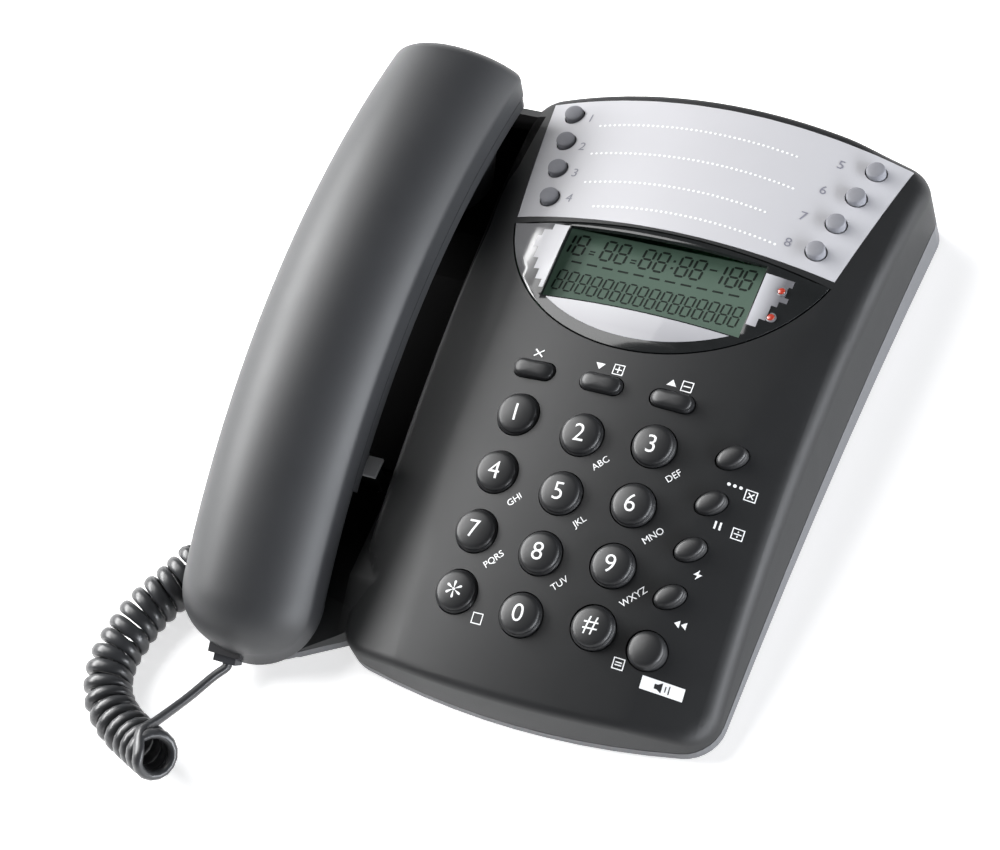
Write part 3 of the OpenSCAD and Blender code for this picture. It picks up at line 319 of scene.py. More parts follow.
def editing(piece, faces=None):
    """Goes into edit mode with the faces that the test names selected, or all of them."""
    only(piece)
    bpy.ops.object.mode_set(mode="EDIT")
    bpy.ops.mesh.select_mode(type="FACE")
    bpy.ops.mesh.select_all(action="DESELECT" if faces else "SELECT")
    if faces:
        bpy.ops.object.mode_set(mode="OBJECT")
        for face in piece.data.polygons:
            face.select = faces(face)
        bpy.ops.object.mode_set(mode="EDIT")


def done():
    bpy.ops.object.mode_set(mode="OBJECT")


def apply_modifier(piece, kind, **settings):
    only(piece)
    modifier = piece.modifiers.new(kind.lower(), kind)
    for key, value in settings.items():
        setattr(modifier, key, value)
    bpy.ops.object.modifier_apply(modifier=modifier.name)
    return piece


def bevelled(piece, width, segments, least_degrees):
    """Rounds the edges that turn by more than the least angle."""
    return apply_modifier(piece, "BEVEL", width=width, segments=segments, limit_method="ANGLE",
                          angle_limit=math.radians(least_degrees))


def cut(piece, tool, operation="DIFFERENCE"):
    """Boolean of two closed pieces; the tool is used up."""
    apply_modifier(piece, "BOOLEAN", operation=operation, object=tool, solver="EXACT")
    bpy.data.objects.remove(tool)
    return piece


def joined(name, pieces):
    bpy.ops.object.select_all(action="DESELECT")
    for piece in pieces:
        piece.select_set(True)
    bpy.context.view_layer.objects.active = pieces[0]
    bpy.ops.object.join()
    return named(name)


def copied(piece, name):
    copy = piece.copy()
    copy.data = piece.data.copy()
    bpy.context.scene.collection.objects.link(copy)
    copy.name = copy.data.name = name
    return copy


def outline_sheet(name, outline, z=0.0):
    """A filled sheet: a circle primitive whose corners go to the outline's points."""
    bpy.ops.mesh.primitive_circle_add(vertices=len(outline), radius=10, fill_type="NGON", location=(0, 0, 0))
    sheet = named(name)
    for corner, (x, y) in zip(sheet.data.vertices, outline):
        corner.co = (x, y, z)
    editing(sheet)
    bpy.ops.mesh.normals_make_consistent(inside=False)
    done()
    if sheet.data.polygons[0].normal.z < 0:
        sheet.data.flip_normals()
    return sheet


def raised(name, outline, steps):
    """A sheet pulled up through steps (share of the outline, height), closed at both ends."""
    share, z = steps[0]
    piece = outline_sheet(name, [(x * share, y * share) for x, y in outline], z)
    middle = (sum(x for x, _ in outline) / len(outline), sum(y for _, y in outline) / len(outline), 0)
    editing(piece)
    for next_share, next_z in steps[1:]:
        bpy.ops.mesh.extrude_region_move(TRANSFORM_OT_translate={"value": (0, 0, next_z - z)})
        k = next_share / share
        bpy.ops.transform.resize(value=(k, k, 1), center_override=middle)
        share, z = next_share, next_z
    bpy.ops.mesh.select_all(action="SELECT")
    bpy.ops.mesh.normals_make_consistent(inside=False)
    done()
    return piece


def shift(piece, x, y, z=0.0):
    piece.data.transform(Matrix.Translation((x, y, z)))


def block(name, outline, low, high):
    return raised(name, outline, [(1.0, low), (1.0, high)])


def formed(name, columns, rows, spot):
    """A grid primitive whose corners go to the places that spot gives for a column and a row."""
    bpy.ops.mesh.primitive_grid_add(
        x_subdivisions=columns - 1, y_subdivisions=rows - 1, size=2, location=(0, 0, 0))
    sheet = named(name)
    for corner in sheet.data.vertices:
        column = round((corner.co.x + 1) / 2 * (columns - 1))
        row = round((corner.co.y + 1) / 2 * (rows - 1))
        corner.co = spot(column, row)
    return sheet


def ring_outline(count, rx, ry=None, turn=0.0, at=(0.0, 0.0)):
    ry = rx if ry is None else ry
    c, s = math.cos(turn), math.sin(turn)
    spots = [(rx * math.cos(math.tau * i / count), ry * math.sin(math.tau * i / count)) for i in range(count)]
    return [(at[0] + x * c - y * s, at[1] + x * s + y * c) for x, y in spots]


def slot_outline(length, width):
    half = (length - width) / 2
    return arc((half, 0), width / 2, -90, 90, 12) + arc((-half, 0), width / 2, 90, 270, 12)


def box_outline(x0, y0, x1, y1):
    return [(x0, y0), (x1, y0), (x1, y1), (x0, y1)]


def arc(centre, radius, start, end, steps):
    turns = [math.radians(start + (end - start) * i / steps) for i in range(steps + 1)]
    return [(centre[0] + radius * math.cos(a), centre[1] + radius * math.sin(a)) for a in turns]


def bowed(half, y, bow, steps=16):
    """Points of a bowed edge from left to right."""
    return [(half * u, y + bow * (1 - u * u)) for u in (2 * i / steps - 1 for i in range(steps + 1))]


def moved(outline, spot):
    return [(x + spot[0], y + spot[1]) for x, y in outline]


def shifted(outlines, spot):
    return [moved(outline, spot) for outline in outlines]


def draped(piece, height):
    """Lifts each corner by the height at its place."""
    for corner in piece.data.vertices:
        corner.co.z += height(corner.co.x, corner.co.y)
    return piece


def sliced(piece, axis, value, faces=None):
    """Cuts the chosen faces with a plane square to an axis."""
    at, across = [0.0, 0.0, 0.0], [0.0, 0.0, 0.0]
    at[axis], across[axis] = value, 1.0
    editing(piece, faces)
    bpy.ops.mesh.bisect(plane_co=at, plane_no=across)
    done()


def diced(piece, step):
    """Cuts a piece into a grid with vertical planes, so that it can be draped."""
    low = [min(v.co[k] for v in piece.data.vertices) for k in (0, 1)]
    high = [max(v.co[k] for v in piece.data.vertices) for k in (0, 1)]
    for k in (0, 1):
        count = int((high[k] - low[k]) / step)
        for i in range(1, count + 1):
            sliced(piece, k, low[k] + (high[k] - low[k]) * i / (count + 1))
    return piece


def finished(piece, frame_matrix, body, slot, material, smooth=35.0, replaces=()):
    """Puts a piece modelled in millimetres in its place, and gives it its finish and its body."""
    piece.data.transform(place(frame_matrix))
    piece.data.update()
    only(piece)
    bpy.ops.object.shade_smooth_by_angle(angle=math.radians(smooth))
    piece.data.materials.clear()
    piece.data.materials.append(material)
    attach(piece, body)
    if replaces:
        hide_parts(*replaces)


# The bowed face: radii along and across it, its peak, and the frames that its pieces stand in
FACE_LEN_R, FACE_CROWN_R = 415.0, 190.0
FACE_PEAK_Y, FACE_PEAK_Z = 86.0, 45.0
FACE_AXIS_Z = FACE_PEAK_Z - FACE_LEN_R
KEY_TILT = math.asin(FACE_PEAK_Y / FACE_LEN_R)
KEYPAD_TO_DISPLAY = 105.0
DISPLAY_TILT = KEY_TILT - KEYPAD_TO_DISPLAY / FACE_LEN_R
FRONT_Y, BACK_Y = -53.8, 151.0
# Creases that run up both sides of the face: (y, distance from the middle)
CREASE = [(FRONT_Y + 3 * row, x) for row, x in (
    (0, 37.4), (9, 37.5), (18, 39.6), (25, 42.4), (31, 44.8), (36, 47.4), (41, 51.0), (50, 54.0), (57, 61.6))]
CREASE_SLOPE, CREASE_SOFT = 0.13, 0.02
CREASE_END_Y, CREASE_FADE = 112, 20


def on_face(tilt):
    """Frame on the middle of the face where it slopes by tilt, Z square to the face."""
    spot = (0, FACE_PEAK_Y - FACE_LEN_R * math.sin(tilt), FACE_AXIS_Z + FACE_LEN_R * math.cos(tilt))
    return Matrix.Translation(spot) @ Matrix.Rotation(tilt, 4, "X")


KEYPAD, DISPLAY = on_face(KEY_TILT), on_face(DISPLAY_TILT)


def between(table, y):
    for (y0, a), (y1, b) in zip(table, table[1:]):
        if y <= y1:
            return a + (b - a) * max(0.0, (y - y0) / (y1 - y0))
    return table[-1][1]


def sag(radius, reach):
    """Drop of an arc below its top."""
    return radius - math.sqrt(radius ** 2 - reach * reach)


def crown(x, y):
    """Drop of the face below a frame's plane."""
    return sag(FACE_CROWN_R, x) + sag(FACE_LEN_R, y)


def crease_drop(x, y):
    past = abs(x) - between(CREASE, y)
    fade = min(1.0, max(0.0, (CREASE_END_Y - y) / CREASE_FADE))
    return CREASE_SLOPE * fade * (past + math.sqrt(past * past + CREASE_SOFT ** 2)) / 2


def face_z(x, y):
    reach = FACE_LEN_R - sag(FACE_CROWN_R, x)
    return FACE_AXIS_Z + math.sqrt(reach ** 2 - (y - FACE_PEAK_Y) ** 2) - crease_drop(x, y)


def on_keypad(x, y):
    """Height of the face in the keypad frame."""
    return -crown(x, y) - crease_drop(x, (KEYPAD @ Vector((x, y, 0))).y)


def on_window(x, y):
    """Height of the window and the plate in the display frame."""
    return -crown(x, y)


# Housing: its plan, walls, rounded edges and parting line
HALF_FRONT, HALF_BACK = 60.8, 66.8
FRONT_BOW, BACK_BOW = 250.0, 420.0
FRONT_CORNER, BACK_CORNER = 12.0, 9.0
SIDE_STEPS = 24
WALL = 2.4
EDGE_FILLET, RIGHT_FILLET, HOLLOW_FILLET = 2.2, 4.4, 3.0
# Shares of the fillet by which its rings of faces are inset
FILLET_RINGS = (0.05, 0.10, 0.15, 0.20, 0.23, 0.27)
# Where the right edge's wider fillet fades in, across and from the front
WIDE_FILLET_X, WIDE_FILLET_Y = (38, 54), (-52, -40)
PARTING_Z, PARTING_TILT, PARTING_GAP = 6.4, math.radians(2), 0.45
# Height of the body's block before its top goes to the face, and the pitch of its grid
BLANK_Z, FACE_PITCH, HOLLOW_PITCH = 30.0, 3.0, 9.0


def body_outline(inset):
    """Plan of the body: bowed ends, flared sides, round corners."""
    front = (0, FRONT_BOW + FRONT_Y)
    rear = (0, BACK_Y - BACK_BOW)
    fx, bx = HALF_FRONT - FRONT_CORNER, HALF_BACK - BACK_CORNER
    fy = front[1] - math.sqrt((FRONT_BOW - FRONT_CORNER) ** 2 - fx * fx)
    by = rear[1] + math.sqrt((BACK_BOW - BACK_CORNER) ** 2 - bx * bx)
    fa = math.degrees(math.atan2(fy - front[1], fx))
    ba = math.degrees(math.atan2(by - rear[1], bx))
    side = [(HALF_FRONT + (HALF_BACK - HALF_FRONT) * (i / SIDE_STEPS) ** 2 - inset,
             fy + (by - fy) * i / SIDE_STEPS) for i in range(1, SIDE_STEPS)]
    half = (arc(front, FRONT_BOW - inset, -90, fa, 10)[1:]
            + arc((fx, fy), FRONT_CORNER - inset, fa, 0, 10)[1:] + side
            + arc((bx, by), BACK_CORNER - inset, 0, ba, 8)
            + arc(rear, BACK_BOW - inset, ba, 90, 10)[1:-1])
    return half + [(0, BACK_Y - inset)] + [(-x, y) for x, y in reversed(half)] + [(0, FRONT_Y + inset)]


def inside_by(outline, x, y):
    """How far a point lies inside an outline."""
    least = 1e9
    for (x0, y0), (x1, y1) in zip(outline, outline[1:] + outline[:1]):
        dx, dy = x1 - x0, y1 - y0
        t = min(1.0, max(0.0, ((x - x0) * dx + (y - y0) * dy) / (dx * dx + dy * dy)))
        least = min(least, math.hypot(x - x0 - t * dx, y - y0 - t * dy))
    return least


def smooth_step(low, high, value):
    t = min(1.0, max(0.0, (value - low) / (high - low)))
    return t * t * (3 - 2 * t)


def edge_fillet(x, y):
    """Radius of the face's rounded edge: wide on the right, tighter elsewhere."""
    wide = smooth_step(*WIDE_FILLET_X, x) * smooth_step(*WIDE_FILLET_Y, y)
    return EDGE_FILLET + (RIGHT_FILLET - EDGE_FILLET) * wide


def on_top(face):
    """Whether a face of the body's block lies on its top."""
    return face.center.z > BLANK_Z - 0.01 and face.normal.z > 0.9


def creased(form):
    """Cuts the top of the form along the two creases, so that they stay crisp."""
    for side in (-1, 1):
        for (y0, x0), (y1, x1) in zip(CREASE, CREASE[1:]):
            editing(form, lambda face: on_top(face) and y0 < face.center.y < y1 and face.center.x * side > 20)
            bpy.ops.mesh.bisect(plane_co=(side * x0, y0, BLANK_Z), plane_no=(y1 - y0, -side * (x1 - x0), 0))
            done()


def body_form(name, inset, fillet, pitch):
    """The body's block under the bowed face, its upper edge rounded by the fillet."""
    outline = body_outline(inset)
    form = outline_sheet(name, outline, 0.0)
    editing(form)
    bpy.ops.mesh.extrude_region_move(TRANSFORM_OT_translate={"value": (0, 0, BLANK_Z)})
    for share in FILLET_RINGS:
        bpy.ops.mesh.inset(thickness=fillet * share, use_even_offset=True)
    done()
    for axis, low, high in ((0, -HALF_BACK, HALF_BACK), (1, FRONT_Y, BACK_Y)):
        for i in range(1, int((high - low) / pitch)):
            sliced(form, axis, low + i * pitch, on_top)
    if not inset:
        creased(form)
    for corner in form.data.vertices:
        x, y, z = corner.co
        if z > BLANK_Z - 0.01:
            depth = inside_by(outline, x, y)
            bend = edge_fillet(x, y)
            short = max(0.0, bend - depth)
            corner.co.z = face_z(x, y) - inset - bend + math.sqrt(max(0.0, bend ** 2 - short ** 2))
    return form


# Handset: the arched rim that its shells meet at, and how deep its two ends sit in the cradle
HANDSET_X = -89.0
RIM_C = (82.3, -198.4)
RIM_R = 253.6
MOUTH_A, EAR_A, EAR_END_A = (math.radians(a) for a in (-29.5, 7.4, 13.6))
MOUTH_DEPTH, EAR_DEPTH, SEAT_GAP = 10.0, 28.0, 0.35
# Cradle: its plan, the profile of its seats and its hump at the back
CRADLE_LEFT, CRADLE_RIGHT, CRADLE_BACK = -108.0, -50, 141.0
CRADLE_FLOOR, HUMP_Z, HUMP_DEPTH = 19.0, 30.0, 8
CRADLE_C, CRADLE_R, CRADLE_CORNER = (-87.0, -33.5), 21.0, 8
# Front edge on the right of the round tip: x, and distance behind the tip
CRADLE_FRONT = [(-80.5, 1.2), (-74, 4), (-62, 10.5), (CRADLE_RIGHT, 18)]
# Where the floor ends and where the ear's seat begins
FLOOR_END_Y, EAR_SEAT_Y = 80, 92
CRADLE_EDGE = 1.6
# Lays an outline of y and z across x
PROFILE_TURN = Matrix(((0, 0, 1, 0), (1, 0, 0, 0), (0, 1, 0, 0), (0, 0, 0, 1)))


def seat_z(a, depth, y):
    reach = RIM_R - depth - SEAT_GAP
    return RIM_C[1] + reach * math.cos(a) - math.tan(a) * (y - RIM_C[0] - reach * math.sin(a))


def cradle_form(name, inset, drop):
    """The cradle's block: its plan pulled up and cut to the seats' profile."""
    front = CRADLE_C[1] - CRADLE_R
    corner = (CRADLE_LEFT + CRADLE_CORNER, CRADLE_BACK - CRADLE_CORNER)
    plan = (arc(CRADLE_C, CRADLE_R - inset, 180, 270, 14)
            + [(x, front + behind + inset) for x, behind in CRADLE_FRONT]
            + [(CRADLE_RIGHT, CRADLE_BACK - inset)] + arc(corner, CRADLE_CORNER - inset, 90, 180, 8))
    form = block(name, plan, 0, 60)
    ramp_end = front + (CRADLE_FLOOR - seat_z(MOUTH_A, MOUTH_DEPTH, front)) / math.tan(-MOUTH_A)
    hump = CRADLE_BACK - HUMP_DEPTH
    first, last, under = front - 5, CRADLE_BACK + 5, -5
    profile = [(first, under), (last, under), (last, HUMP_Z - drop), (hump + max(drop, 0.02), HUMP_Z - drop),
               (hump, seat_z(EAR_A, EAR_DEPTH, hump) - drop),
               (EAR_SEAT_Y, seat_z(EAR_A, EAR_DEPTH, EAR_SEAT_Y) - drop),
               (FLOOR_END_Y, CRADLE_FLOOR - drop), (ramp_end, CRADLE_FLOOR - drop),
               (first, seat_z(MOUTH_A, MOUTH_DEPTH, first) - drop)]
    tool = block("cradle_profile", profile, -130, -40)
    tool.data.transform(PROFILE_TURN)
    cut(form, tool, "INTERSECT")
    if not inset:
        bevelled(form, CRADLE_EDGE, 3, 35)
    return form


# Keys and buttons: sizes in millimetres, and their spots in the keypad or display frame
DIGITS = ["1", "2", "3", "4", "5", "6", "7", "8", "9", "star", "0", "hash"]
KEY_GAP = 0.35
DIGIT_R, SPEAKER_R, MEMORY_R = 6.6, 5.7, 3.0
MENU_L, MENU_W = 13.6, 5.6
OVAL_L, OVAL_W, OVAL_TURN = 9.6, 6.4, math.radians(38)
KEY_PROUD, KEY_DOME = 1.9, 1.1
KEY_FOOT_Z, BUTTON_FOOT_Z = -11.6, -13.8
KEY_COLUMN, KEY_ROW = 22, 18.8
digit_spots = [((i % 3 - 1) * KEY_COLUMN - 1.1, (1.5 - i // 3) * KEY_ROW - (2 if i % 3 == 1 else 0) - 0.2)
               for i in range(12)]
menu_spots = [((i - 1) * 22.4 - 1.1, 43.0) for i in range(3)]
oval_spots = [(43.4 - 1.4 * i, 31.1 - 14.9 * i) for i in range(4)]
SPEAKER_SPOT = (37.5, -30.3)
memory_spots = [(side * (44.1 + 2.2 * k), -0.2 + 11.6 * k) for side in (-1, 1) for k in (3, 2, 1, 0)]

# Label plate and display window
PLATE_GAP = 0.15
plate_opening = (bowed(52.5 + PLATE_GAP, -8.0 - PLATE_GAP, 1.3)
                 + bowed(60.5 + PLATE_GAP, 39.9 + PLATE_GAP, 3.4)[::-1])
WINDOW_R, WINDOW_MID = 54.57, 4.97
WINDOW_TOP_Y, WINDOW_TOP_HALF, WINDOW_TOP_BOW = -10.6, 52.0, 2.8
WINDOW_SHRINK, WINDOW_T = 0.4, 1.6

# Slots in the housing: box in plan, low and high
HOUSING_SLOTS = {
    "hook_slot": ((-79.4, 1.3, -62.8, 9.7), 12, 24),
    "jack_slot": ((-115, -17.7, -91, -6.3), 4.05, 11.45),
    "line_slot": ((27.3, 134, 40.7, 158), 4.05, 12.05),
}


def window_outline(grow):
    a = math.degrees(math.asin((WINDOW_TOP_Y - WINDOW_MID) / WINDOW_R))
    top = [(WINDOW_TOP_HALF * u, WINDOW_TOP_Y + grow + WINDOW_TOP_BOW * (1 - u * u))
           for u in (1 - i / 10 for i in range(1, 20))]
    return arc((0, WINDOW_MID), WINDOW_R + grow, -180 - a, a, 48) + top


def slab(name, matrix, outline, low, high):
    """A tool pulled through the face from an outline in one of its frames."""
    tool = block(name, outline, low, high)
    tool.data.transform(matrix)
    return tool


def crease_lines(shell):
    """Keeps the shading crisp along the two creases."""
    for edge in shell.data.edges:
        ends = [shell.data.vertices[i].co / MM - ORIGIN for i in edge.vertices]
        if all(end.z > 20 and end.y < CREASE_END_Y - 4 and abs(abs(end.x) - between(CREASE, end.y)) < 0.03
               for end in ends):
            edge.use_edge_sharp = True


def housing():
    """Top housing with its cradle, hollow, with the holes that its pieces stand in."""
    shell = body_form("top_casing", 0.0, RIGHT_FILLET, FACE_PITCH)
    cut(shell, cradle_form("cradle", 0.0, 0.0), "UNION")
    hollow = body_form("hollow", WALL, HOLLOW_FILLET, HOLLOW_PITCH)
    cut(hollow, cradle_form("cradle_hollow", WALL, WALL), "UNION")
    cut(shell, hollow)
    below = block("below_parting", box_outline(-160, -160, 160, 220), -80, 0)
    parting = Matrix.Translation((0, 0, PARTING_Z + PARTING_GAP))
    below.data.transform(parting @ Matrix.Rotation(PARTING_TILT, 4, "X"))
    cut(shell, below)
    oval = (OVAL_L / 2 + KEY_GAP, OVAL_W / 2 + KEY_GAP, OVAL_TURN)
    holes = [ring_outline(48, DIGIT_R + KEY_GAP, at=spot) for spot in digit_spots]
    holes += [moved(slot_outline(MENU_L + 2 * KEY_GAP, MENU_W + 2 * KEY_GAP), spot) for spot in menu_spots]
    holes += [ring_outline(32, *oval, spot) for spot in oval_spots]
    holes.append(ring_outline(40, SPEAKER_R + KEY_GAP, at=SPEAKER_SPOT))
    tools = [slab("key_hole", KEYPAD, hole, -25, 15) for hole in holes]
    tools += [slab("trim_hole", DISPLAY, hole, -16, 12) for hole in (plate_opening, window_outline(0.15))]
    tools += [block(name, box_outline(*plan), low, high) for name, (plan, low, high) in HOUSING_SLOTS.items()]
    cut(shell, joined("holes", tools))
    finished(shell, UNTURNED, "base", "body_plastic", CHARCOAL, 32, ["top_housing"])
    crease_lines(shell)


def domed_key(name, outline, half, spot, dome, step, shoulder):
    """A key: a shaft with a base ring, then a cap with a round shoulder and a dome."""
    top = KEY_PROUD - crown(*spot)
    bend = (half * half + dome * dome) / (2 * dome)
    floor = top - KEY_PROUD
    cap = half - step

    def on_dome(r):
        return top + dome - bend + math.sqrt(bend ** 2 - r * r)

    steps = [(1.0, KEY_FOOT_Z), (1.0, floor + 0.35), ((half - 0.15) / half, floor + 0.6),
             ((cap + 0.1) / half, floor + 0.66), (cap / half, floor + 0.8)]
    for i in range(7):
        a = math.radians(15 * i)
        r = cap - shoulder * (1 - math.cos(a))
        steps.append((r / half, on_dome(r) - shoulder * (1 - math.sin(a)) * 0.8))
    for share in (0.8, 0.6, 0.4, 0.2, 0.04):
        r = (cap - shoulder) * share
        steps.append((r / half, on_dome(r)))
    key = raised(name, outline, steps)
    shift(key, *spot)
    return key


# Top of a memory button: share of its outline, height
BUTTON_TOP = ((1.0, -0.55), (0.985, -0.3), (0.94, -0.08), (0.87, 0.06), (0.6, 0.24), (0.3, 0.36), (0.04, 0.4))


def keypad():
    """Dial keys, menu bars, oval keys, the speaker key and the memory buttons."""
    dial, menu = ring_outline(48, DIGIT_R), slot_outline(MENU_L, MENU_W)
    oval = ring_outline(36, OVAL_L / 2, OVAL_W / 2, OVAL_TURN)
    # Name, body, outline, half width, spot, dome, step, shoulder
    keys = [("dial_key_" + label, "key_" + label, dial, DIGIT_R, spot, KEY_DOME, 0.4, 1.3)
            for label, spot in zip(DIGITS, digit_spots)]
    keys += [(f"bar_menu_key_{i}", f"menu_key_{i}", menu, MENU_W / 2, spot, 0.7, 0.2, 1.2)
             for i, spot in enumerate(menu_spots, 1)]
    keys += [(f"bean_oval_key_{i}", f"oval_key_{i}", oval, OVAL_W / 2, spot, 0.8, 0.15, 1.1)
             for i, spot in enumerate(oval_spots, 1)]
    keys.append(("round_speaker_key", "speaker_key", ring_outline(48, SPEAKER_R), SPEAKER_R, SPEAKER_SPOT,
                 KEY_DOME, 0.2, 1.3))
    for name, node, *form in keys:
        finished(domed_key(name, *form), KEYPAD, node, "key_plastic", KEY_BLACK, 50, [node])
    for i, spot in enumerate(memory_spots, 1):
        node = f"memory_button_{i}"
        top = KEY_PROUD - crown(*spot)
        steps = [(1.0, BUTTON_FOOT_Z)] + [(share, top + rise) for share, rise in BUTTON_TOP]
        button = raised("round_" + node, ring_outline(40, MEMORY_R), steps)
        shift(button, *spot)
        finished(button, DISPLAY, node, "button_plastic", BUTTON_GREY, 40, [node])


# Handset's upper shell: half width, height of its crowned back, height of its side bands
HANDSET_HALF, HANDSET_CROWN, HANDSET_BAND = 22.5, 14.0, 7.0
SECTION_R = (HANDSET_HALF ** 2 + HANDSET_CROWN ** 2) / (2 * HANDSET_CROWN)
EAR_LEAN = math.tan(math.radians(24))
EAR_ROUND, HANDSET_EDGE, HANDSET_WALL = 4.0, 0.8, 2.0
SEAM = 0.2
# How far the rim lies behind the band's lower edge at the tip of the mouth end
MOUTH_LEAN = 3.6
SECTION_POINTS, BAND_POINTS, MOUTH_RINGS, RIM_RINGS, EAR_RINGS = 45, 4, 15, 56, 6


def rim_spot(a, x, n, ahead=0.0):
    """Place on the handset: x across, n above the rim at angle a, ahead along the rim."""
    a += ahead / RIM_R
    return Vector((HANDSET_X + x, RIM_C[0] + (RIM_R + n) * math.sin(a), RIM_C[1] + (RIM_R + n) * math.cos(a)))


def mouth_spot(x, n, out):
    """Place at the round mouth end, out beyond the end of the arched rim."""
    along = Vector((0, math.cos(MOUTH_A), -math.sin(MOUTH_A)))
    return rim_spot(MOUTH_A, x, n) - along * out


def upper_section(inset):
    """Half-round back of the handset with its two side bands, drawn in by inset."""
    half, radius, middle = HANDSET_HALF - inset, SECTION_R - inset, HANDSET_CROWN - SECTION_R
    edge = math.asin(min(1.0, half / radius))
    rim = middle + radius * math.cos(edge)
    points = [(-half, -HANDSET_BAND + SEAM + (rim + HANDSET_BAND - SEAM) * i / BAND_POINTS)
              for i in range(BAND_POINTS)]
    arcs = SECTION_POINTS - 2 * BAND_POINTS
    for i in range(arcs):
        a = -edge + 2 * edge * i / (arcs - 1)
        points.append((radius * math.sin(a), middle + radius * math.cos(a)))
    return points + [(-x, n) for x, n in reversed(points[:BAND_POINTS])]


def mouth_ring(section, out):
    """The section narrowed for a place out in the round mouth end."""
    share = out / HANDSET_HALF
    narrow = math.sqrt(max(0.0, 1 - share ** 2))
    ring = []
    for x, n in section:
        x *= narrow
        back_lean = MOUTH_LEAN * share ** 2 * min(1.0, (n + HANDSET_BAND) / HANDSET_BAND)
        if n >= -1e-6:
            n = HANDSET_CROWN - SECTION_R + math.sqrt(max(0.0, SECTION_R ** 2 - x * x - out * out))
        ring.append(mouth_spot(x, n, out - back_lean))
    return ring


def handset_back():
    """Upper shell: the section swept along the rim, round at the mouth end and capped at the ear end."""
    section = upper_section(0.0)
    rings = [mouth_ring(section, HANDSET_HALF * math.cos(math.radians(90 * i / MOUTH_RINGS)))
             for i in range(MOUTH_RINGS)]
    for i in range(RIM_RINGS + 1):
        a = MOUTH_A + (EAR_END_A - EAR_ROUND / RIM_R - MOUTH_A) * i / RIM_RINGS
        slide = max(0.0, (i / RIM_RINGS - 0.7) / 0.3) ** 2
        rings.append([rim_spot(a, x, n, -slide * EAR_LEAN * max(0.0, n)) for x, n in section])
    for i in range(1, EAR_RINGS + 1):
        turn = math.radians(90 / EAR_RINGS * i)
        drawn = upper_section(EAR_ROUND * (1 - math.cos(turn)))
        ahead = EAR_ROUND * (math.sin(turn) - 1)
        rings.append([rim_spot(EAR_END_A, x, n, ahead - EAR_LEAN * max(0.0, n)) for x, n in drawn])
    drawn = upper_section(EAR_ROUND)
    for share in (0.85, 0.6, 0.3, 0.02):
        ring = [(x * share, (n + HANDSET_BAND - SEAM) * share - HANDSET_BAND + SEAM) for x, n in drawn]
        rings.append([rim_spot(EAR_END_A, x, n, -EAR_LEAN * max(0.0, n)) for x, n in ring])
    skin = formed("handset_back", SECTION_POINTS, len(rings), lambda column, row: rings[row][column])
    editing(skin)
    bpy.ops.mesh.remove_doubles(threshold=0.01)
    bpy.ops.mesh.normals_make_consistent(inside=False)
    done()
    middle = max(skin.data.polygons, key=lambda face: face.center.z)
    if middle.normal.z < 0:
        skin.data.flip_normals()
    bevelled(skin, HANDSET_EDGE, 3, 21)
    apply_modifier(skin, "SOLIDIFY", thickness=HANDSET_WALL, offset=-1, use_even_offset=True)
    finished(skin, UNTURNED, "handset", "handset_plastic", HANDSET_BLACK, 60, ["handset_upper_shell"])


# Handset cord, flat in section, and its curls
WIRE = 3.2
CORD_WIDE, CORD_THIN, CORD_SIDES = 4.4, 3.0, 14
CURL_R, CURLS, TURN_POINTS = 6.2, 18, 16
FIRST_ANGLE = math.radians(35)
# Middle line of the coil, from the end that the lead lifts to the end behind the handset
COIL_LINE = [Vector(spot) for spot in (
    (-95.0, -98.7, 17.0), (-105.5, -94.2, 11.6), (-115.6, -89.6, 8.9), (-123.4, -83.4, 8.0),
    (-127.2, -76.5, 8.0), (-128.5, -69.0, 8.0), (-127.8, -61.7, 8.0), (-126.3, -54.1, 8.0),
    (-123.5, -47.2, 8.0), (-119.8, -40.0, 8.0), (-117.2, -33.0, 8.0))]
LEAD = [Vector(spot) for spot in (
    (-95.4, -66.6, 7.0), (-98.2, -76.2, 10.2), (-101.0, -87.6, 16.0), (-102.0, -93.6, 20.0))]
TAIL = [Vector(spot) for spot in ((-116.4, -26.5, 7.8), (-116.6, -20.0, 7.7), (-115.4, -14.4, 7.75))]
# Where the cord meets its plugs: across, above and out at the mouth end, and at the cradle
HANDSET_PLUG_AT = (-4.0, -4.4, 23.3)
CRADLE_PLUG_AT = Vector((-109.8, -12, 7.75))


def smoothed(points, steps):
    """Points on a soft curve through the given ones."""
    ends = [points[0] * 2 - points[1]] + points + [points[-1] * 2 - points[-2]]
    curve = []
    for a, b, c, d in zip(ends, ends[1:], ends[2:], ends[3:]):
        for i in range(steps):
            t = i / steps
            curve.append(0.5 * (2 * b + (c - a) * t + (2 * a - 5 * b + 4 * c - d) * t * t
                                + (3 * b - a - 3 * c + d) * t ** 3))
    return curve + [points[-1]]


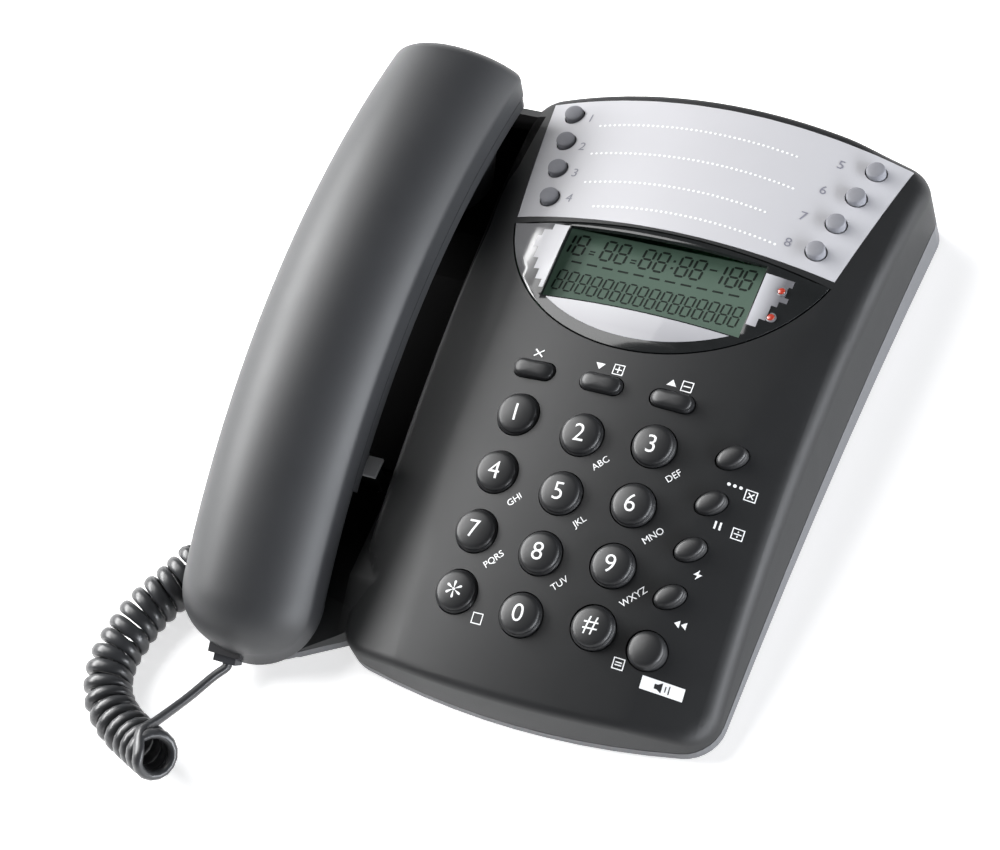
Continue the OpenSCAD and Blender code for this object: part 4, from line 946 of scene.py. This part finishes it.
def cord_path():
    """Middle line of the cord with the way its flat side lies, from the handset's plug to the cradle's."""
    line = smoothed(COIL_LINE, 10)
    reach = [0.0]
    for one, other in zip(line, line[1:]):
        reach.append(reach[-1] + (other - one).length)
    coil, flat = [], []
    for i in range(CURLS * TURN_POINTS + 1):
        s = reach[-1] * i / (CURLS * TURN_POINTS)
        k = max(j for j in range(len(line) - 1) if reach[j] <= s)
        ahead = (line[k + 1] - line[k]).normalized()
        middle = line[k] + ahead * (s - reach[k])
        across = Vector((ahead.y, -ahead.x, 0)).normalized()
        rise = across.cross(ahead)
        angle = FIRST_ANGLE + math.tau * i / TURN_POINTS
        coil.append(middle + CURL_R * (math.cos(angle) * rise - math.sin(angle) * across))
        flat.append(ahead)
    plug = mouth_spot(*HANDSET_PLUG_AT)
    out = Vector((0, -math.cos(MOUTH_A), math.sin(MOUTH_A)))
    lead = smoothed([plug, plug + out * 1.5] + LEAD + [coil[0]], 6)[:-1]
    tail = smoothed([coil[-1]] + TAIL + [CRADLE_PLUG_AT - Vector((WIRE, 0, 0)), CRADLE_PLUG_AT], 6)[1:]
    return lead + coil + tail, [None] * len(lead) + flat + [None] * len(tail)


def flat_tube(name, points, flat):
    """A cord with an oval section: a sheet rolled round the middle line and closed."""
    count = len(points)
    along = [(points[min(i + 1, count - 1)] - points[max(i - 1, 0)]).normalized() for i in range(count)]
    known = [i for i in range(count) if flat[i] is not None]
    first, last = known[0], known[-1]
    lie = list(flat)
    for i in list(range(first, -1, -1)) + list(range(last, count)):
        lie[i] = lie[i] or lie[i + 1 if i < first else i - 1]
        lie[i] = (lie[i] - along[i] * lie[i].dot(along[i])).normalized()
    # A curl is narrower where the next one lies close
    wide = [CORD_WIDE] * count
    for i in known:
        near = [(points[i] - points[j]).length
                for j in (i - TURN_POINTS, i + TURN_POINTS) if first <= j <= last]
        wide[i] = min([CORD_WIDE] + [0.97 * gap for gap in near])

    def spot(column, row):
        i = min(max(row - 1, 0), count - 1)
        share = 0.02 if row in (0, count + 1) else 1.0
        side = (lie[i] - along[i] * lie[i].dot(along[i])).normalized()
        up_side = along[i].cross(side)
        a = math.tau * column / CORD_SIDES
        return points[i] + share * (wide[i] / 2 * math.cos(a) * side + CORD_THIN / 2 * math.sin(a) * up_side)

    cord = formed(name, CORD_SIDES + 1, count + 2, spot)
    editing(cord)
    bpy.ops.mesh.remove_doubles(threshold=0.005)
    bpy.ops.mesh.select_mode(type="EDGE")
    bpy.ops.mesh.select_all(action="DESELECT")
    bpy.ops.mesh.select_non_manifold()
    bpy.ops.mesh.fill_holes(sides=0)
    bpy.ops.mesh.select_all(action="SELECT")
    bpy.ops.mesh.normals_make_consistent(inside=False)
    done()
    return cord


def handset_cord():
    """Curly cord from the handset's plug to the cradle's."""
    points, flat = cord_path()
    cord = flat_tube("curly_handset_cord", points, flat)
    cord.data.transform(place())
    only(cord)
    bpy.ops.object.shade_smooth()
    cord.data.materials.clear()
    cord.data.materials.append(CORD_BLACK)
    path = [place() @ point for point in points]
    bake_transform(cord)
    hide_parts("cord_coil", "cord_lead", "cord_tail")
    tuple(path[0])


# Display: its panel's place, the window's opening, the silver ink beside it and below it, its two lamps
LCD_Z = -7.6
LCD_SHIFT = (-2.9, 3.0)
PRINT_T = 0.05
WINDOW_OPENING = (-32.0, -36.0, 32.8, -10.2)
LEFT_SILVER = [
    (-32.4, -33.4), (-33.8, -33.4), (-33.8, -30.6), (-36.2, -30.6), (-36.2, -27.0), (-38.2, -27.0),
    (-38.2, -23.0), (-40.0, -23.0), (-40.0, -19.0), (-42.0, -19.0), (-42.0, -14.8), (-40.6, -14.8),
    (-40.6, -12.4), (-37.8, -12.4), (-37.8, -10.2), (-32.4, -10.4)]
RIGHT_SILVER = [
    (33.2, -31.0), (36.2, -31.0), (36.2, -28.0), (38.2, -28.0), (38.2, -22.6), (39.9, -22.6), (39.9, -20.6),
    (42.2, -20.6), (42.2, -18.8), (40.9, -18.8), (40.9, -15.0), (42.0, -15.0), (42.0, -12.6), (33.2, -12.6)]
LOWER_SILVER = arc((0, WINDOW_MID + 4.2), WINDOW_R, -123.3, -56.7, 20)
LAMP_X, LAMP_YS = 39.4, (-17.0, -26.4)
# Name, radius, steps, slot and finish of a lamp's two pieces
LAMP_PIECES = (
    ("lamp_rim_", 1.65, [(1.0, -0.3), (1.0, 0.12), (0.92, 0.2), (0.78, 0.2), (0.72, 0.1)],
     "silver_plate", WINDOW_SILVER),
    ("lamp_lens_", 1.15, [(1.0, -0.3), (1.0, 0.15), (0.9, 0.32), (0.7, 0.46), (0.4, 0.55), (0.05, 0.58)],
     "lamp", LAMP_RED))


def display():
    """Window with its opening, silver ink round it and lamps."""
    window = diced(block("display_lens", window_outline(-WINDOW_SHRINK), -WINDOW_T, 0.0), 4.0)
    draped(window, on_window)
    cut(window, block("display_opening", box_outline(*WINDOW_OPENING), -20, 10))
    bevelled(window, 0.25, 2, 55)
    finished(window, DISPLAY, "base", "smoked_window", WINDOW_DARK, 40, ["display_window"])
    sheets = [draped(diced(block("silver_sheet", outline, 0.0, PRINT_T), 3.0), on_window)
              for outline in (LEFT_SILVER, RIGHT_SILVER, LOWER_SILVER)]
    finished(joined("window_silver_print", sheets), DISPLAY, "base", "silver_plate", WINDOW_SILVER, 30)
    for i, y in enumerate(LAMP_YS, 1):
        for name, radius, steps, slot, material in LAMP_PIECES:
            piece = raised(f"{name}{i}", ring_outline(32, radius), steps)
            shift(piece, LAMP_X, y, on_window(LAMP_X, y))
            finished(piece, DISPLAY, "base", slot, material, 40)


# Display segments: width, height and line of the large and small digits, and their rows
LARGE_DIGIT, SMALL_DIGIT = (3.2, 7.2, 0.74), (2.5, 7.2, 0.56)
LARGE_ROW_Y, DASH_ROW_Y, SMALL_ROW_Y = -16.6, -22.9, -30.2
LARGE_DIGITS_X, ONES_X = (-25.4, -16.2, -11.4, -3.2, 1.6, 8.8, 13.6, 25.2, 29.8), (-28.6, 21.8)
SLANT = 0.08


def segment_digit(width, height, line, parts="abcdefg"):
    """Outlines of a seven segment digit about its middle."""
    w, h, t = width / 2, height / 2, line / 2
    spans = {"a": ((-w, h), (w, h)), "g": ((-w, 0), (w, 0)), "d": ((-w, -h), (w, -h)),
             "f": ((-w, 0), (-w, h)), "b": ((w, 0), (w, h)),
             "e": ((-w, -h), (-w, 0)), "c": ((w, -h), (w, 0))}
    shapes = []
    for part in parts:
        (x0, y0), (x1, y1) = spans[part]
        length = math.hypot(x1 - x0, y1 - y0)
        ux, uy = (x1 - x0) / length, (y1 - y0) / length
        a, b = 0.12 * line + t * 0.3, length - 0.12 * line - t * 0.3
        local = [(a, 0), (a + t, -t), (b - t, -t), (b, 0), (b - t, t), (a + t, t)]
        shapes.append([(x0 + u * ux - v * uy, y0 + u * uy + v * ux) for u, v in local])
    return shapes


def display_segments():
    """Two rows of digits on the display, with dashes and dots."""
    shapes = []

    def put(outlines, x, y):
        shapes.extend([[(px + x + SLANT * py, py + y) for px, py in outline] for outline in outlines])

    for x in LARGE_DIGITS_X:
        put(segment_digit(*LARGE_DIGIT), x, LARGE_ROW_Y)
    for x in ONES_X:
        put(segment_digit(*LARGE_DIGIT, "bc"), x - 1.6, LARGE_ROW_Y)
    for y in (1.3, -1.3):
        put([box_outline(-0.4, -0.4, 0.4, 0.4)], 5.4, LARGE_ROW_Y + y)
    put([box_outline(-1.2, -0.3, 1.2, 0.3)], 18.2, LARGE_ROW_Y + 1.0)
    for x in (-21.0, -7.2):
        put([box_outline(-0.9, -0.25, 0.9, 0.25), box_outline(-0.9, 0.75, 0.9, 1.25)], x, LARGE_ROW_Y - 2.4)
    for i in range(11):
        put([box_outline(-1.7, -0.32, 1.7, 0.32)], -24.4 + 5.2 * i, DASH_ROW_Y)
    for i in range(16):
        put(segment_digit(*SMALL_DIGIT), -27.0 + 3.86 * i, SMALL_ROW_Y)
    segments = joined("display_segments", [block("segment", outline, 0.0, 0.04) for outline in shapes])
    shift(segments, *LCD_SHIFT, LCD_Z + 0.02)
    finished(segments, DISPLAY, "base", "display", SEGMENT_DARK, 30)


def lettering(name, words, size, weight=0.0):
    """Flat lettering about its middle, made a mesh."""
    bpy.ops.object.text_add(location=(0, 0, 0))
    text = bpy.context.view_layer.objects.active
    text.data.body = words
    text.data.size = size
    text.data.align_x, text.data.align_y = "CENTER", "CENTER"
    text.data.offset = weight
    text.data.extrude = PRINT_T / 2
    text.data.resolution_u = 4
    only(text)
    bpy.ops.object.convert(target="MESH")
    text = named(name)
    low, high = (Vector(text.bound_box[i]) for i in (0, 6))
    text.data.transform(Matrix.Translation(-(low + high) / 2))
    return text


def subdivided(piece, cuts):
    editing(piece)
    bpy.ops.mesh.subdivide(number_cuts=cuts)
    done()
    return piece


def key_figures():
    """White figures on the domes of the dial keys."""
    bend = (DIGIT_R ** 2 + KEY_DOME ** 2) / (2 * KEY_DOME)
    for label, spot in zip(DIGITS, digit_spots):
        sign = {"star": "*", "hash": "#"}.get(label, label)
        figure = subdivided(lettering("figure_" + label, sign, 12.0 if sign == "*" else 7.8, -0.05), 3)
        top = KEY_PROUD - crown(*spot) + KEY_DOME - bend + 0.02
        figure.data.transform(Matrix.Rotation(math.radians(3), 4, "Z"))
        draped(figure, lambda x, y: top + math.sqrt(bend ** 2 - x * x - y * y))
        shift(figure, *spot)
        finished(figure, KEYPAD, "key_" + label, "silver_plate", WHITE_PRINT, 30)


def boxed():
    """A square frame of four bars."""
    a, b = 1.7, 1.4
    return [box_outline(-a, -a, a, -b), box_outline(-a, b, a, a),
            box_outline(-a, -b, -b, b), box_outline(b, -b, a, b)]


def stroke(x0, y0, x1, y1, line=0.34):
    length = math.hypot(x1 - x0, y1 - y0)
    ux, uy = (x1 - x0) / length * line / 2, (y1 - y0) / length * line / 2
    return [(x0 - ux + uy, y0 - uy - ux), (x1 + ux + uy, y1 + uy - ux),
            (x1 + ux - uy, y1 + uy + ux), (x0 - ux - uy, y0 - uy + ux)]


SIGNS = {
    "plus": boxed() + [stroke(-0.9, 0, 0.9, 0), stroke(0, -0.9, 0, 0.9)],
    "minus": boxed() + [stroke(-0.9, 0, 0.9, 0)],
    "times": boxed() + [stroke(-0.7, -0.7, 0.7, 0.7), stroke(-0.7, 0.7, 0.7, -0.7)],
    "divide": boxed() + [stroke(-0.9, 0, 0.9, 0), stroke(0, 0.7, 0, 0.75), stroke(0, -0.75, 0, -0.7)],
    "equals": boxed() + [stroke(-0.8, 0.4, 0.8, 0.4), stroke(-0.8, -0.4, 0.8, -0.4)],
    "point": boxed(),
    "down": [[(-1.5, 0.9), (0, -1.1), (1.5, 0.9)]],
    "up": [[(-1.5, -0.9), (1.5, -0.9), (0, 1.1)]],
    "clear": [stroke(-1.3, -1.0, 1.3, 1.0, 0.42), stroke(-1.3, 1.0, 1.3, -1.0, 0.42)],
    "tone": [ring_outline(12, 0.5, at=(x, 0)) for x in (-1.7, 0, 1.7)],
    "pause": [stroke(-0.7, -0.9, -0.7, 0.9, 0.55), stroke(0.7, -0.9, 0.7, 0.9, 0.55)],
    "spark": [[(0.3, 1.5), (-1.2, -0.2), (-0.1, -0.2), (-0.4, -1.5), (1.2, 0.3), (0.1, 0.3)]],
    "again": [[(-1.8, 0), (-0.3, -1.1), (-0.3, 1.1)], [(0.1, 0), (1.6, -1.1), (1.6, 1.1)]],
}
SIGN_SPOTS = (
    ("point", (digit_spots[9][0] + 9.0, digit_spots[9][1] - 6.2)),
    ("equals", (digit_spots[11][0] + 10.0, digit_spots[11][1] - 7.8)),
    ("clear", (-24.2, 48.6)), ("down", (-3.6, 48.5)), ("plus", (2.4, 48.5)), ("up", (19.4, 48.5)),
    ("minus", (24.0, 48.5)), ("tone", (46.6, 23.4)), ("times", (51.5, 22.0)), ("pause", (45.6, 10.6)),
    ("divide", (51.4, 10.0)), ("spark", (44.6, -5.0)), ("again", (44.2, -20.2)))
# Letter groups by the key that they stand beside
LETTERS = {1: "ABC", 2: "DEF", 3: "GHI", 4: "JKL", 5: "MNO", 6: "PQRS", 7: "TUV", 8: "WXYZ"}
LETTER_SHIFT, LETTER_TURN, LETTER_SIZE = (8.4, -7.0), math.radians(49), 2.9
SPEAKER_LABEL, SPEAKER_MARK_SPOT = (38.4, -41.0, 50.4, -37.2), (44.4, -39.1)
SPEAKER_MARK = [[(-2.2, -0.7), (-1.3, -0.7), (-0.1, -1.5), (-0.1, 1.5), (-1.3, 0.7), (-2.2, 0.7)],
                stroke(0.9, -0.7, 0.9, 0.7, 0.3), stroke(1.9, -1.1, 1.9, 1.1, 0.3)]


def face_print():
    """White print on the face: letter groups, boxed signs and pictograms beside the keys."""
    pieces = []
    for i, words in LETTERS.items():
        group = lettering("letters", words, LETTER_SIZE)
        x, y = digit_spots[i]
        spot = Matrix.Translation((x + LETTER_SHIFT[0], y + LETTER_SHIFT[1], 0.0))
        group.data.transform(spot @ Matrix.Rotation(LETTER_TURN, 4, "Z"))
        pieces.append(group)
    for sign, spot in SIGN_SPOTS:
        pieces += [block("sign", outline, 0.0, PRINT_T) for outline in shifted(SIGNS[sign], spot)]
    pieces.append(diced(block("label", box_outline(*SPEAKER_LABEL), 0.0, PRINT_T), 3.0))
    ink = draped(joined("face_print", pieces), on_keypad)
    finished(ink, KEYPAD @ Matrix.Translation((0, 0, 0.03)), "base", "silver_plate", WHITE_PRINT, 30)
    marks = [block("mark", outline, 0.0, PRINT_T) for outline in shifted(SPEAKER_MARK, SPEAKER_MARK_SPOT)]
    mark = draped(joined("speaker_mark", marks), on_keypad)
    finished(mark, KEYPAD @ Matrix.Translation((0, 0, 0.08)), "base", "smoked_window", DARK_PRINT, 30)


# Dotted lines on the plate, each bent through three points, and the numbers beside the memory buttons
DOT_ROWS = [((-39.4, 30.4), (-6, 32.8), (26.8, 31.3)), ((-37.3, 18.5), (-3, 20.9), (30.0, 19.2)),
            ((-34.5, 6.9), (-4, 9.3), (25.2, 8.0)), ((-27.7, -2.2), (2, -0.4), (32.0, -2.1))]
DOT_R, DOT_PITCH = 0.42, 1.62
NUMBER_SPOTS = [(-44.2, 33.7), (-41.9, 21.4), (-39.7, 10.4), (-37.4, 0.3),
                (40.2, 33.2), (38.6, 22.0), (36.4, 10.6), (35.4, 0.0)]
NUMBER_SIZE = 4.6


def plate_print():
    """Dotted lines and numbers on the label plate."""
    dot = block("dot", ring_outline(10, DOT_R), 0.0, 0.04)
    dots = []
    for row in DOT_ROWS:
        count = round((row[2][0] - row[0][0]) / DOT_PITCH)
        for i in range(count + 1):
            t = i / count
            x, y = ((1 - t) ** 2 * a + 2 * t * (1 - t) * (2 * b - (a + c) / 2) + t * t * c
                    for a, b, c in zip(*row))
            one = copied(dot, "dot_copy")
            shift(one, x, y, 0.02)
            dots.append(one)
    bpy.data.objects.remove(dot)
    finished(draped(joined("plate_dots", dots), on_window), DISPLAY, "base", "silver_plate", WHITE_PRINT, 30)
    numbers = []
    for i, (x, y) in enumerate(NUMBER_SPOTS, 1):
        number = lettering("number", str(i), NUMBER_SIZE)
        shift(number, x, y, 0.04)
        numbers.append(number)
    figures = subdivided(joined("plate_numbers", numbers), 1)
    finished(draped(figures, on_window), DISPLAY, "base", "silver_plate", GREY_PRINT, 30)


# The hook's tab and stem: box in plan, low and high
HOOK_TAB = ((-79.0, 2.4, -64.4, 9.2), 25.2, 26.5)
HOOK_STEM = ((-79.0, 4.6, -66.6, 8.4), 10.0, 25.15)


def hook_tab():
    """Flat tab of the hook on its dark stem."""
    plan, low, high = HOOK_TAB
    tab = block("hook_tab", box_outline(*plan), low, high)
    apply_modifier(tab, "BEVEL", width=0.3, segments=2)
    finished(tab, UNTURNED, "hook", "white_plastic", HOOK_GREY, 40)
    plan, low, high = HOOK_STEM
    stem = block("hook_stem", box_outline(*plan), low, high)
    finished(stem, UNTURNED, "hook", "white_plastic", JACK_BLACK, 40, ["hook_plunger"])


handset_cord()
housing()
keypad()
handset_back()
hook_tab()
display()
display_segments()
key_figures()
face_print()
plate_print()

# Finishes of the solids that stay
FINISHES = {
    LOWER_GREY_AND_REFLECTION: ["bottom_housing"],
    HANDSET_BLACK: ["handset_lower_shell"],
    SILVER_LABEL: ["label_plate"],
    DISPLAY_GREEN: ["display_panel"],
    LAMP_RED: ["call_lamps"],
    HOLDER_WHITE: ["panel_holder"],
    BOARD_GREEN: ["display_board", "main_board"],
    MAT_RUBBER: ["memory_mat", "key_mat"],
    FOOT_RUBBER: ["rubber_feet"],
    STEEL: ["housing_screws", "board_screws", "handset_screws", "hook_spring"],
    CAPSULE_GREY: ["loudspeaker", "receiver_capsule", "microphone_capsule"],
    WEIGHT_IRON: ["handset_weight"],
    JACK_BLACK: ["hook_switch", "line_jack", "base_jack", "handset_jack"],
    PLUG_SMOKE: ["handset_plug", "base_plug"],
}
for material, names in FINISHES.items():
    for name in names:
        nodes[name].data.materials.clear()
        nodes[name].data.materials.append(material)

# Pale floor
bpy.ops.mesh.primitive_plane_add(size=6, location=(0, 0, 0))
floor = named("floor")
paper = Finish("pale_paper", Roughness=0.9, Specular_IOR_Level=0.2, Emission_Strength=0.66)
cloud = paper.noise(300.0, 2.0)
tone = paper.mix(cloud, (0.90, 0.90, 0.905), (0.93, 0.93, 0.93))
paper.feed(Base_Color=tone, Emission_Color=tone)
floor.data.materials.append(paper.material)


def softbox(name, spot, target, size, power, colour=(1, 1, 1)):
    light = bpy.data.lights.new(name, "AREA")
    light.shape = "RECTANGLE"
    light.size, light.size_y = size
    light.energy = power
    light.color = colour
    lamp = bpy.data.objects.new(name, light)
    lamp.location = spot
    lamp.rotation_euler = (Vector(target) - Vector(spot)).to_track_quat("-Z", "Y").to_euler()
    bpy.context.scene.collection.objects.link(lamp)


softbox("left_softbox", (-1.2, 0.12, 0.66), (-0.07, 0, 0.05), (1.3, 0.46), 42)
softbox("upper_left_softbox", (-0.75, 0.22, 1.10), (-0.07, 0, 0.05), (1.0, 0.7), 13)
softbox("right_softbox", (1.25, -0.12, 0.11), (0.0, 0, 0.05), (1.6, 0.20), 32, (0.92, 0.95, 1.0))

# Studio surroundings, pale at the horizon: (rise, level)
SKY_STOPS = ((0.0, 0.8), (0.12, 0.6), (0.4, 0.10), (1.0, 0.10))
world = bpy.data.worlds.new("studio")
world.use_nodes = True
sky = world.node_tree
height = sky.nodes.new("ShaderNodeSeparateXYZ")
shade = sky.nodes.new("ShaderNodeValToRGB")
sky.links.new(sky.nodes.new("ShaderNodeTexCoord").outputs["Generated"], height.inputs[0])
sky.links.new(height.outputs[2], shade.inputs[0])
sky.links.new(shade.outputs[0], sky.nodes["Background"].inputs["Color"])
ramp = shade.color_ramp
while len(ramp.elements) < len(SKY_STOPS):
    ramp.elements.new(0.5)
for stop, (rise, level) in zip(ramp.elements, SKY_STOPS):
    stop.position, stop.color = rise, rgba(level, level, level * 1.02)
bpy.context.scene.world = world
bpy.context.scene.view_settings.view_transform = "Standard"
